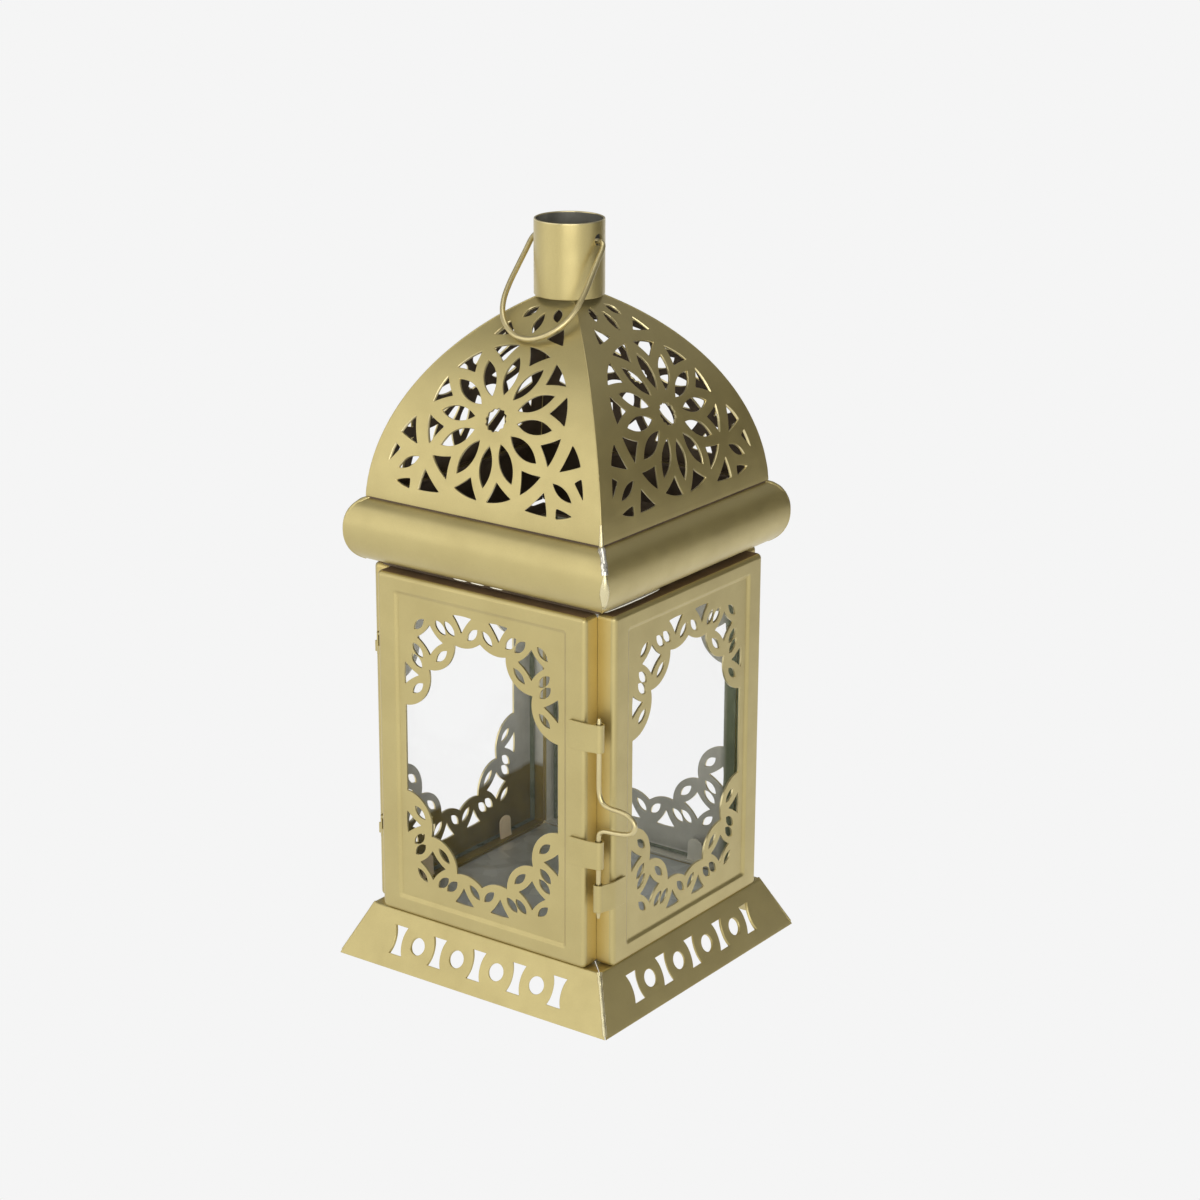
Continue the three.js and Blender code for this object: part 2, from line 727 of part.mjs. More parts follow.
putOnSides((side) => `base_skirt_${side}`, baseSkirt(), gold);
const cornerStrip = baseCornerStrip();
const CORNERS = ["front_right", "back_right", "back_left", "front_left"];
CORNERS.forEach((corner, turn) => put(`base_corner_strip_${corner}`, cornerStrip, gold, turn));

put("floor_plate", floorPlate(), zincSheet);
const plainPanel = trayPanel(0);
const stopPanel = trayPanel(STOP_LIP);
put("door_panel", plainPanel, gold, 0);
put("right_panel", stopPanel, gold, 1);
put("back_panel", plainPanel, gold, 2);
put("left_panel", stopPanel, gold, 3);
putOnSides((side) => (side === "front" ? "door_glass" : `${side}_glass`), glassPane(), clearGlass);

put("top_frame", topFrame(), darkSheet);
putOnSides((side) => `cornice_${side}`, corniceMoulding(), gold);
putOnSides((side) => `dome_gore_${side}`, domeGore(), gold);
put("chimney_tube", chimneyTube(), gold);
put("bail_handle", bailHandle(), wireGold);

put("latch_clip_upper", frontClip(UPPER_CLIP_LOW), gold);
put("latch_clip_lower", frontClip(LOWER_CLIP_LOW), gold);
put("catch_clip", catchClip(), gold);
put("latch_bolt", latchBolt(), wireGold);

for (const [place, level] of Object.entries(HINGE_LEVELS)) {
  put(`frame_hinge_${place}`, frameKnuckle(level), gold);
  put(`door_hinge_${place}`, doorKnuckle(level), gold);
  put(`hinge_pin_${place}`, hingePin(level), pinSteel);
}

export default lantern;
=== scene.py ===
"""Looks of the candle lantern: pierced gold-lacquered sheet, glass panes, wire bail and latch.

Lengths in this file are millimetres until a mesh is made, which is in metres. The front is -Y.
"""

from math import acos, asin, atan2, ceil, copysign, cos, exp, hypot, pi, radians, sin, sqrt, tan

import bmesh
import bpy
import numpy as np
from mathutils import Matrix, Vector, noise


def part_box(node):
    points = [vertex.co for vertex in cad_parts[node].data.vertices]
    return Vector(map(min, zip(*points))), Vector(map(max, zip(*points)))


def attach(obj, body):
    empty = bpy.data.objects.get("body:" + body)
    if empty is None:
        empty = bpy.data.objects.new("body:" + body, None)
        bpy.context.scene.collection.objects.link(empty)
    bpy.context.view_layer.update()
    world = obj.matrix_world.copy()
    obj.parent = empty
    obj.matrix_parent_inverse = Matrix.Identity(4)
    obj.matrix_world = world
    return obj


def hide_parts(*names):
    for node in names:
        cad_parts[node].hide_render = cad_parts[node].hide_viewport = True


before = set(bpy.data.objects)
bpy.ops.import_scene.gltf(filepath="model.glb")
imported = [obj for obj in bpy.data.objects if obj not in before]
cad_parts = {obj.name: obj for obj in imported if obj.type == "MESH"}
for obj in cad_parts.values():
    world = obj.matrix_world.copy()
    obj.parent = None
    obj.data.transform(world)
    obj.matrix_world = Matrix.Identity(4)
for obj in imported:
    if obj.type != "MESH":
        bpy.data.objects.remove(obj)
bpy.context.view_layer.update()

MM = 0.001
AXIS_X = -2.8  # the lantern's own axis in the frame; everything below is measured from that axis
SIDES = ["front", "right", "back", "left"]
CORNERS = ["front_right", "back_right", "back_left", "front_left"]
QUARTER = pi / 2

# ---- dimensions: the frame's own, apart from the two that say so ----
SHEET = 0.8
BASE_HALF = 56.0
DECK_HALF = 47.6
DECK_TOP = 18.1
DECK_INNER_HALF = 38.0
SLOT_PITCH = 16.7
FACE = 49.0
PANEL_HALF = 42.3
TRAY_DEPTH = 6.6  # 0.2 more than in the frame
PANEL_LOW = 18.4
PANEL_TOP = 137.9
PANEL_MID = (PANEL_LOW + PANEL_TOP) / 2
PANEL_RISE = (PANEL_TOP - PANEL_LOW) / 2
FIELD_HALF = 34.4
FIELD_RISE = 53.8
FIELD_SINK = 0.72  # 0.32 more than in the frame, so that the raised border shows
STOP_LIP = 1.0
WINDOW_HALF = 31.2
GLASS_FRONT = 47.4
GLASS_THICK = 2.0
GLASS_HALF = 40.6
TONGUE_OFFSET = 22
CORNICE_INNER = 44.0
CORNICE_MID = 150.8
CORNICE_REACH = 8.9
CORNICE_RISE = 10.8
CORNICE_POWER = 2.3
DOME_R = 81.2
DOME_CENTRE = (-33.55, 156.27)
DOME_LOW = 161.9
NECK_REACH = 7.2
NECK_TOP = 231.0
TUBE_R = 11.5
TUBE_WALL = 0.7
TUBE_LOW = 226.7
TUBE_TOP = 251.4
BAIL_PIVOT_Z = 244.9
BAIL_HOLE_Z = BAIL_PIVOT_Z + 0.6
BAIL_REST = radians(40)
BAIL_DROP = 37.4
BAIL_WIRE_R = 0.9
BOLT_X = 46.9
BOLT_Y = -47.6
BOLT_R = 0.8
CLIP_SHEET = 0.6
CLIP_HEIGHT = 9.4
CLIP_REACH = 36.8  # how far in the straps start on their panels
UPPER_CLIP_LOW = 94.3
LOWER_CLIP_LOW = 54.6
CATCH_LOW = 39.7
HINGE_X = -44.3
HINGE_Y = -44.3


# ---- materials ----
NOISE_ROUGHNESS = 0.55

# features per metre
SOFT_WAVES = 38
CLOUDS = 45
PATCHES = 120
SMEARS = 160
SPANGLES = 210
GRAIN = 960
ORANGE_PEEL = 1500
FLAKES = 5200

# depths of bumps
PEEL_DEPTH = 0.01
GRAIN_DEPTH = 0.02


def new_material(name):
    material = bpy.data.materials.new(name)
    material.use_nodes = True
    tree = material.node_tree
    return material, tree, tree.nodes["Principled BSDF"]


def set_values(node, values):
    for socket, value in values.items():
        node.inputs[socket].default_value = value


def add_noise(tree, scale, detail):
    """A noise of the object's own coordinates, in features per metre."""
    coordinates = tree.nodes.new("ShaderNodeTexCoord")
    texture = tree.nodes.new("ShaderNodeTexNoise")
    set_values(texture, {"Scale": scale, "Detail": detail, "Roughness": NOISE_ROUGHNESS})
    tree.links.new(coordinates.outputs["Object"], texture.inputs["Vector"])
    return texture.outputs["Fac"]


def add_ramp(tree, value, stops):
    """A colour ramp; each stop is (position, (r, g, b))."""
    ramp = tree.nodes.new("ShaderNodeValToRGB")
    elements = ramp.color_ramp.elements
    while len(elements) < len(stops):
        elements.new(0.5)
    for element, (position, colour) in zip(elements, stops):
        element.position = position
        element.color = (*colour, 1)
    tree.links.new(value, ramp.inputs["Fac"])
    return ramp.outputs["Color"]


def add_patches(tree, patches, dark, light):
    """Soft patches of two tones."""
    return add_ramp(tree, patches, [(0.32, dark), (0.68, light)])


def add_range(tree, value, low, high):
    """Spreads the middle half of a noise between two values."""
    node = tree.nodes.new("ShaderNodeMapRange")
    set_values(node, {"From Min": 0.25, "From Max": 0.75, "To Min": low, "To Max": high})
    tree.links.new(value, node.inputs["Value"])
    return node.outputs["Result"]


def add_bump(tree, shader, heights):
    """Stacks bumps; each is (height output, depth)."""
    previous = None
    for height, depth in heights:
        bump = tree.nodes.new("ShaderNodeBump")
        set_values(bump, {"Strength": 1.0, "Distance": depth * MM})
        tree.links.new(height, bump.inputs["Height"])
        if previous:
            tree.links.new(previous, bump.inputs["Normal"])
        previous = bump.outputs["Normal"]
    tree.links.new(previous, shader.inputs["Normal"])


def mix_colours(tree, factor, first, second, mode="MIX"):
    """Mixes two colour outputs by a number or by another output."""
    node = tree.nodes.new("ShaderNodeMix")
    node.data_type = "RGBA"
    node.blend_type = mode
    if isinstance(factor, float):
        node.inputs["Factor"].default_value = factor
    else:
        tree.links.new(factor, node.inputs["Factor"])
    tree.links.new(first, node.inputs["A"])
    tree.links.new(second, node.inputs["B"])
    return node.outputs["Result"]


def lacquer(name, light, dark, roughness=(0.38, 0.5), metallic=0.85, waves=0.22):
    """Metallic lacquer: cloudy tone, fine flake, orange peel and soft waves, under a thin clear coat."""
    material, tree, shader = new_material(name)
    tone = add_ramp(tree, add_noise(tree, CLOUDS, 4), [(0.3, dark), (0.7, light)])
    flake_tones = [(0.35, (0.88, 0.88, 0.88)), (0.65, (1, 1, 1))]
    flake = add_ramp(tree, add_noise(tree, FLAKES, 1), flake_tones)
    colour = mix_colours(tree, 0.6, tone, flake, "MULTIPLY")
    tree.links.new(colour, shader.inputs["Base Color"])
    set_values(shader, {"Metallic": metallic, "Coat Weight": 0.6, "Coat Roughness": 0.32})
    tree.links.new(add_range(tree, add_noise(tree, SMEARS, 3), *roughness), shader.inputs["Roughness"])
    bumps = [(add_noise(tree, SOFT_WAVES, 1), waves), (add_noise(tree, ORANGE_PEEL, 2), PEEL_DEPTH)]
    add_bump(tree, shader, bumps)
    return material


GOLD = lacquer("gold_lacquer", (0.568, 0.472, 0.198), (0.508, 0.416, 0.168))
GOLD_WIRE = lacquer("gold_wire_lacquer", (0.68, 0.58, 0.3), (0.58, 0.48, 0.23), (0.28, 0.4), 0.9, 0.02)
# pale solder with painted highlight, for the near corner's seams only; the other corners' solder is plain
# gold
SOLDER_HIGHLIGHT = lacquer("solder_with_painted_highlight", (0.8, 0.72, 0.44), (0.64, 0.55, 0.29), (0.2, 0.36), 0.9, 0.15)
# a warmer, lighter gold on the flanges that line the corner recesses between panels: painted warm bounce
# light
GOLD_BOUNCE_LIGHT = lacquer("gold_with_painted_bounce_light", (0.67, 0.53, 0.2), (0.61, 0.475, 0.17))
# lighter gold for the walls of the holes and the tube's top rim: cut metal, lightened further as painted
# highlight
CUT_EDGE_HIGHLIGHT = lacquer("cut_edge_with_painted_highlight", (0.78, 0.68, 0.38), (0.66, 0.56, 0.28), (0.26, 0.4), 0.85, 0.05)
# near-white bare metal with painted highlight, for the near corner's cornice solder and the beads on the
# cornice's lip
BARE_METAL_GLINT = lacquer("bare_metal_with_painted_glint", (0.9, 0.87, 0.77), (0.8, 0.75, 0.6), (0.14, 0.28), 0.9, 0.1)


def plain_metal(name, light, dark, roughness, metallic):
    """Plain metal in patches of two tones, with a fine grain."""
    material, tree, shader = new_material(name)
    patches = add_noise(tree, PATCHES, 4)
    tree.links.new(add_patches(tree, patches, dark, light), shader.inputs["Base Color"])
    shader.inputs["Metallic"].default_value = metallic
    smears = add_noise(tree, PATCHES * 3, 2)
    tree.links.new(add_range(tree, smears, *roughness), shader.inputs["Roughness"])
    add_bump(tree, shader, [(add_noise(tree, GRAIN, 2), GRAIN_DEPTH)])
    return material


# dark painted shade for hollows: the inner faces of the cornice and the dome, the band under the dome's foot
# and the frame under the cornice
INSIDE_SHADE = plain_metal("dark_painted_shade", (0.14, 0.1, 0.06), (0.09, 0.064, 0.038), (0.55, 0.75), 0.3)
PALE_INSIDE = plain_metal("pale_inside", (0.58, 0.53, 0.41), (0.47, 0.425, 0.32), (0.45, 0.6), 0.25)
FOLD_SHADE = plain_metal("shaded_fold", (0.24, 0.155, 0.08), (0.17, 0.11, 0.055), (0.5, 0.7), 0.3)
TAB_METAL = plain_metal("glass_tab", (0.9, 0.72, 0.46), (0.78, 0.62, 0.38), (0.4, 0.55), 0.15)
TUBE_INSIDE = plain_metal("tube_inside", (0.3, 0.29, 0.24), (0.21, 0.205, 0.18), (0.35, 0.5), 0.6)
PIN_STEEL = plain_metal("pin_steel", (0.45, 0.4, 0.28), (0.33, 0.29, 0.2), (0.3, 0.45), 0.95)


def galvanised():
    """Zinc sheet with a faint spangle."""
    material, tree, shader = new_material("galvanised_sheet")
    coordinates = tree.nodes.new("ShaderNodeTexCoord")
    spangle = tree.nodes.new("ShaderNodeTexVoronoi")
    spangle.inputs["Scale"].default_value = SPANGLES
    tree.links.new(coordinates.outputs["Object"], spangle.inputs["Vector"])
    crystal = tree.nodes.new("ShaderNodeSeparateColor")
    tree.links.new(spangle.outputs["Color"], crystal.inputs["Color"])
    tone = add_ramp(tree, crystal.outputs["Red"], [(0, (0.6, 0.62, 0.6)), (1, (0.78, 0.8, 0.78))])
    tree.links.new(tone, shader.inputs["Base Color"])
    shader.inputs["Metallic"].default_value = 0.85
    tree.links.new(add_range(tree, crystal.outputs["Green"], 0.36, 0.5), shader.inputs["Roughness"])
    dents, dent_depth = add_noise(tree, 70, 2), 0.25
    grain, grain_depth = add_noise(tree, 900, 2), 0.008
    add_bump(tree, shader, [(dents, dent_depth), (grain, grain_depth)])
    return material


ZINC = galvanised()


def painted_shade_inside(name, axis, edge, blur, before, after):
    """A panel's inside with painted shade: one pair of tones before an edge along an axis and another past
    it, in metres.
    """
    material, tree, shader = new_material(name)
    coordinates = tree.nodes.new("ShaderNodeTexCoord")
    parts = tree.nodes.new("ShaderNodeSeparateXYZ")
    tree.links.new(coordinates.outputs["Object"], parts.inputs["Vector"])
    past = tree.nodes.new("ShaderNodeMapRange")
    set_values(past, {"From Min": edge - blur, "From Max": edge + blur})
    tree.links.new(parts.outputs[axis], past.inputs["Value"])
    patches = add_noise(tree, PATCHES, 4)
    tones = [add_patches(tree, patches, *pair) for pair in (before, after)]
    tree.links.new(mix_colours(tree, past.outputs["Result"], *tones), shader.inputs["Base Color"])
    set_values(shader, {"Metallic": 0.25, "Roughness": 0.5})
    add_bump(tree, shader, [(add_noise(tree, GRAIN, 2), GRAIN_DEPTH)])
    return material


LOWER_SHADE_TOP = 0.041  # height of the upper edge of the left panel's painted shade, brown below it, in metres
SHADE_LINE = 0.0285  # where the back panel's painted dark green shade begins, in metres
LOWER_SHADE_TONES = ((0.22, 0.15, 0.014), (0.3, 0.21, 0.024))
PALE_TONES = ((0.66, 0.64, 0.54), (0.8, 0.78, 0.68))
BRIGHT_TONES = ((0.58, 0.56, 0.46), (0.7, 0.68, 0.57))
SHADE_TONES = ((0.14, 0.165, 0.08), (0.2, 0.23, 0.115))
LOWER_SHADE_INSIDE = painted_shade_inside("inside_with_painted_lower_shade", "Z", LOWER_SHADE_TOP, 0.001, LOWER_SHADE_TONES, PALE_TONES)
BACK_INSIDE = painted_shade_inside("shaded_inside", "X", SHADE_LINE, 0.0015, BRIGHT_TONES, SHADE_TONES)


def clear_glass():
    """A thin pane: light goes straight through, and each face mirrors a little of what is round it."""
    material, _, shader = new_material("window_glass")
    tint = (0.86, 0.92, 0.88, 1)
    set_values(shader, {"Base Color": tint, "Metallic": 1, "Roughness": 0.03, "Alpha": 0.014})
    return material


GLASS = clear_glass()
GLASS_EDGE = plain_metal("cut_glass_edge", (0.22, 0.24, 0.15), (0.13, 0.15, 0.09), (0.2, 0.4), 0.0)


# ---- meshes ----
WELD = 1e-4  # points nearer to each other than this become one


def to_mesh(name, bm):
    """Makes a mesh of a bmesh, and frees it."""
    mesh = bpy.data.meshes.new(name)
    bm.to_mesh(mesh)
    bm.free()
    return mesh


def add_object(name, data):
    added = bpy.data.objects.new(name, data)
    bpy.context.scene.collection.objects.link(added)
    return added


def apply_modifiers(piece):
    bpy.context.view_layer.update()
    mesh = bpy.data.meshes.new_from_object(piece.evaluated_get(bpy.context.evaluated_depsgraph_get()))
    piece.modifiers.clear()
    old, piece.data = piece.data, mesh
    bpy.data.meshes.remove(old)


def weigh_normals(piece):
    """Flat faces shade flat, and only the small edge roundings shade round."""
    weighted = piece.modifiers.new("weighted", "WEIGHTED_NORMAL")
    weighted.mode = "FACE_AREA"
    weighted.weight = 90
    weighted.keep_sharp = True
    apply_modifiers(piece)


def finish_piece(name, bm, materials, nodes, turn=0, body="lantern", smooth=35):
    """Turns a mesh in millimetres about the axis, and makes it a piece that stands for CAD nodes."""
    bmesh.ops.remove_doubles(bm, verts=bm.verts, dist=WELD)
    mesh = to_mesh(name, bm)
    place = Matrix.Scale(MM, 4) @ Matrix.Translation((AXIS_X, 0, 0))
    mesh.transform(place @ Matrix.Rotation(turn * QUARTER, 4, "Z"))
    for material in materials:
        mesh.materials.append(material)
    mesh.polygons.foreach_set("use_smooth", [True] * len(mesh.polygons))
    mesh.set_sharp_from_angle(angle=radians(smooth))
    piece = add_object(name, mesh)
    weigh_normals(piece)
    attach(piece, body)
    if nodes:
        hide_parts(*nodes)
    return piece


def flat_sheet(outline, holes, thickness, rounding=0.12):
    """A pierced sheet with rounded edges: across X, along Y, and from Z = 0 down by its thickness."""
    curve = bpy.data.curves.new("sheet_outline", "CURVE")
    curve.dimensions = "2D"
    curve.fill_mode = "BOTH"
    curve.extrude = thickness / 2 - rounding
    curve.bevel_depth = rounding
    curve.bevel_resolution = 1
    curve.offset = -rounding
    for loop in [outline, *holes]:
        spline = curve.splines.new("POLY")
        spline.points.add(len(loop) - 1)
        for point, (x, y) in zip(spline.points, loop):
            point.co = (x, y, 0, 1)
        spline.use_cyclic_u = True
    holder = bpy.data.objects.new("sheet_outline", curve)
    mesh = bpy.data.meshes.new_from_object(holder)
    bm = bmesh.new()
    bm.from_mesh(mesh)
    bmesh.ops.translate(bm, verts=bm.verts, vec=(0, 0, -thickness / 2))
    bmesh.ops.remove_doubles(bm, verts=bm.verts, dist=WELD)
    bpy.data.objects.remove(holder)
    bpy.data.curves.remove(curve)
    bpy.data.meshes.remove(mesh)
    return bm


def slice_along(bm, stations):
    """Cuts a flat sheet across at stations along Y, so that it can bend there."""
    for station in stations:
        parts = bm.verts[:] + bm.edges[:] + bm.faces[:]
        bmesh.ops.bisect_plane(bm, geom=parts, plane_co=(0, station, 0), plane_no=(0, 1, 0), dist=1e-5)


class Path:
    """A line of (reach, height) points. It gives the point and the outward normal at a length along it."""

    def __init__(self, points):
        self.points = np.array(points, float)
        steps = np.linalg.norm(np.diff(self.points, axis=0), axis=1)
        self.lengths = np.concatenate([[0], np.cumsum(steps)])
        tangents = np.gradient(self.points, self.lengths, axis=0)
        tangents /= np.linalg.norm(tangents, axis=1, keepdims=True)
        self.normals = np.stack([tangents[:, 1], -tangents[:, 0]], axis=1)

    def at(self, length):
        point = [np.interp(length, self.lengths, self.points[:, k]) for k in (0, 1)]
        normal = [np.interp(length, self.lengths, self.normals[:, k]) for k in (0, 1)]
        size = hypot(*normal)
        return point[0], point[1], normal[0] / size, normal[1] / size


def wrap(bm, path):
    """Bends a flat sheet along a path on the front side, and keeps its ends on the mitre planes."""
    for vert in bm.verts:
        reach, height, out_reach, out_height = path.at(vert.co.y)
        moved = reach + vert.co.z * out_reach
        across = vert.co.x * (moved / reach)
        vert.co = (across, -moved, height + vert.co.z * out_height)


def paint(bm, index, picks=None):
    """Gives a material to the faces that a test picks, or to all of them."""
    bm.normal_update()
    for face in bm.faces:
        if picks is None or picks(face):
            face.material_index = index


def add_mesh(bm, other):
    """Joins another bmesh in, and frees it."""
    mesh = to_mesh("joined", other)
    bm.from_mesh(mesh)
    bpy.data.meshes.remove(mesh)


def box_mesh(low, high):
    """A box between two opposite corners."""
    bm = bmesh.new()
    bmesh.ops.create_cube(bm, size=1)
    for vert in bm.verts:
        vert.co = [(a + b) / 2 + (b - a) * part for a, b, part in zip(low, high, vert.co)]
    return bm


def join_rows(bm, rows, closed=False):
    """Joins rows of vertices, each a closed loop, with quads; a closed run joins the last to the first."""
    faces = []
    following = rows[1:] + rows[:1] if closed else rows[1:]
    for first, second in zip(rows, following):
        for i in range(len(first)):
            j = (i + 1) % len(first)
            faces.append(bm.faces.new((first[i], first[j], second[j], second[i])))
    return faces


def directions(line):
    """The direction of a line of vectors at each of its points, not normalised."""
    last = len(line) - 1
    return [line[min(i + 1, last)] - line[max(i - 1, 0)] for i in range(last + 1)]


def sheet_bar(bm, rows):
    """Skins and closes a bar, whose section runs out along one line and back along another."""
    join_rows(bm, rows)
    for row in (rows[0], rows[-1]):
        for i in range(len(row) // 2 - 1):
            bm.faces.new((row[i], row[i + 1], row[-2 - i], row[-1 - i]))
    bmesh.ops.recalc_face_normals(bm, faces=bm.faces)


def round_bar(bm, rows):
    """Skins and closes a bar of round section."""
    join_rows(bm, rows)
    bm.faces.new(rows[0])
    bm.faces.new(rows[-1])
    bmesh.ops.recalc_face_normals(bm, faces=bm.faces)


def round_row(bm, centre, across, up, radius, sides):
    """A ring of vertices round a point, in the plane of two directions."""
    row = []
    for k in range(sides):
        angle = 2 * pi * k / sides
        row.append(bm.verts.new(centre + (across * cos(angle) + up * sin(angle)) * radius))
    return row


# ---- outlines ----
def turned(x, y, angle):
    return x * cos(angle) - y * sin(angle), x * sin(angle) + y * cos(angle)


def arc(cx, cy, radius, begin, end, steps):
    """Points round a centre from one angle to another, with both ends."""
    angles = [begin + (end - begin) * i / steps for i in range(steps + 1)]
    return [(cx + radius * cos(angle), cy + radius * sin(angle)) for angle in angles]


def leaf(cx, cy, length, width, degrees, steps=9, fullness=2.0):
    """A pointed leaf of two bowed sides, with its long axis at an angle."""
    angle = radians(degrees)
    points = []
    for side in (1, -1):
        for i in range(steps):
            along = side * (0.5 - i / steps)
            bow = 1 - abs(2 * along) ** fullness
            dx, dy = turned(along * length, side * 0.5 * bow * width, angle)
            points.append((cx + dx, cy + dy))
    return points


def bowed(corners, bows, steps=6, soften=0.25):
    """A polygon whose sides bow outwards by the given heights, with its corners slightly cut."""
    points = []
    count = len(corners)
    middle = (sum(p[0] for p in corners) / count, sum(p[1] for p in corners) / count)
    for i, (x0, y0) in enumerate(corners):
        x1, y1 = corners[(i + 1) % count]
        bow = bows[i % len(bows)]
        length = hypot(x1 - x0, y1 - y0)
        nx, ny = (y1 - y0) / length, (x0 - x1) / length
        if nx * ((x0 + x1) / 2 - middle[0]) + ny * ((y0 + y1) / 2 - middle[1]) < 0:
            nx, ny = -nx, -ny
        cut = soften / length
        for k in range(steps + 1):
            t = cut + (1 - 2 * cut) * k / steps
            lift = bow * 4 * t * (1 - t)
            points.append((x0 + (x1 - x0) * t + nx * lift, y0 + (y1 - y0) * t + ny * lift))
    return points


def circle(cx, cy, radius, steps=40, scallop=0.0, lobes=12):
    points = []
    for i in range(steps):
        angle = 2 * pi * i / steps
        r = radius + scallop * cos(lobes * angle)
        points.append((cx + r * cos(angle), cy + r * sin(angle)))
    return points


def mirror_x(points):
    return [(-x, y) for x, y in reversed(points)]


def mirror_y(points):
    return [(x, -y) for x, y in reversed(points)]


# the lace, measured from the middle of a panel: a star in a disc at each corner, and a disc beside it
STAR = (-20.7, 39.7)
DISC_R = 10.3
SIDE_DISC_R = 11.3
SIDE_DISC_STEP = (13.3, 11.3)


def across_diagonal(point):
    return STAR[0] - (point[1] - STAR[1]), STAR[1] - (point[0] - STAR[0])


def corner_lace():
    """The holes of the upper left corner, which is symmetric about its diagonal."""
    sx, sy = STAR
    star = bowed([(sx - 5.5, sy), (sx, sy - 5.3), (sx + 5.5, sy), (sx, sy + 5.3)], [-0.55], 8, 0.2)
    triangle = [(sx + 9.4, sy + 10.5), (sx + 13.1, sy + 4.7), (sx + 17.3, sy + 10.6)]
    upper = [
        leaf(sx + 4.5, sy + 5.1, 6.1, 2.9, -45, fullness=2.4),
        leaf(sx + 8.2, sy + 5.5, 6.1, 2.9, -45, fullness=2.4),
        bowed(triangle, [-0.3, -0.3, 0.25], 8),
        leaf(sx + 17.7, sy + 5.2, 6, 2.6, 47, fullness=2.2),
    ]
    lower = [[across_diagonal(p) for p in reversed(hole)] for hole in upper]
    outer_leaf = leaf(sx - 4.4, sy + 4.6, 5.9, 2.5, 45)
    inner_leaf = leaf(sx + 4.9, sy - 4.6, 6.5, 2.5, 45)
    return [star, *upper, *lower, outer_leaf, inner_leaf]


def crossing(first, second):
    """Where two circles cross, on the side nearer the middle of the window."""
    (ax, ay, ar), (bx, by, br) = first, second
    dx, dy = bx - ax, by - ay
    apart = hypot(dx, dy)
    along = (apart * apart + ar * ar - br * br) / (2 * apart)
    off = sqrt(ar * ar - along * along)
    middle = (ax + dx * along / apart, ay + dy * along / apart)
    found = [(middle[0] - s * dy * off / apart, middle[1] + s * dx * off / apart) for s in (1, -1)]
    return min(found, key=lambda p: hypot(*p))


def window_opening(steps=14):
    """The window's outline, along the discs of the lace."""
    side = (STAR[0] - SIDE_DISC_STEP[1], STAR[1] - SIDE_DISC_STEP[0], SIDE_DISC_R)
    corner = (STAR[0], STAR[1], DISC_R)
    top = (STAR[0] + SIDE_DISC_STEP[0], STAR[1] + SIDE_DISC_STEP[1], SIDE_DISC_R)
    twin = (-top[0], top[1], top[2])
    start = (-WINDOW_HALF, side[1] - sqrt(SIDE_DISC_R**2 - (WINDOW_HALF + side[0]) ** 2))
    stops = [start, crossing(side, corner), crossing(corner, top), crossing(top, twin)]
    quarter = []
    for i, (cx, cy, radius) in enumerate((side, corner, top)):
        begin = atan2(stops[i][1] - cy, stops[i][0] - cx)
        end = atan2(stops[i + 1][1] - cy, stops[i + 1][0] - cx)
        quarter += arc(cx, cy, radius, begin, end, steps)[:-1]
    half = [*quarter, stops[3], *mirror_x(quarter)]
    return [*half, *mirror_y(half)]


def window_holes():
    corner = corner_lace()
    upper = [*corner, *[mirror_x(hole) for hole in corner]]
    return [window_opening(), *upper, *[mirror_y(hole) for hole in upper]]


# the dome's rosette, in the flat
ROSETTE_UP = 32.3  # its centre above the gore's lower edge
ROSETTE_FOLDS = 12
HUB_R = 3.75
HUB_SCALLOP = 0.22
PETAL_REACH = 15.2
PETAL_LENGTH = 13.6
PETAL_WIDTH = 4.7
SPANDREL = ((19.9, 0), (25.8, 4.9), (25.8, -4.9))


def gore_holes():
    """The dome's holes in the flat: across, and up from the gore's lower edge."""
    holes = [circle(0, ROSETTE_UP, HUB_R, 96, HUB_SCALLOP)]
    for i in range(ROSETTE_FOLDS):
        petal = 360 * i / ROSETTE_FOLDS
        px, py = turned(PETAL_REACH, 0, radians(petal))
        holes.append(leaf(px, ROSETTE_UP + py, PETAL_LENGTH, PETAL_WIDTH, petal, 12, 2.1))
        between = radians(petal + 180 / ROSETTE_FOLDS)
        spandrel = bowed([turned(x, y, between) for x, y in SPANDREL], [-0.25, 0.55, -0.25], 8)
        holes.append([(x, ROSETTE_UP + y) for x, y in spandrel])
    right = [
        bowed([(23.8, 12.9), (17.2, 6.1), (25.8, 5.6)], [-0.25, 0.15, 0.2]),
        bowed([(29.3, 8.7), (29.4, 5.4), (35.4, 7.2)], [0.1, 0.2, 0.2]),
        leaf(30.7, 13.8, 9.3, 2.9, -31),
        bowed([(34.8, 17.6), (38.9, 12.9), (37.1, 19.2)], [0.0, 0.2, 0.1]),
        bowed([(31.2, 29), (28.4, 20.1), (35.9, 22.9)], [-0.3, 0.1, 0.4]),
        bowed([(6.2, 62.4), (13.7, 60.7), (10.6, 67)], [0.2, 0.2, -0.1]),
        leaf(5.3, 71.9, 6.5, 3.1, 118),
    ]
    return [*holes, *right, *[mirror_x(hole) for hole in right], leaf(0, 67.7, 8.7, 2.9, 90)]


# ---- base ----
SKIRT_MITRE = 0.2  # clearance of a skirt's end from the mitre plane
FOLD_R = 1.0
SLOT_HALF = 4.9
SLOT_END = 2.75
SLOT_WAIST = 1.6
ROUND_HOLE_R = 2.95


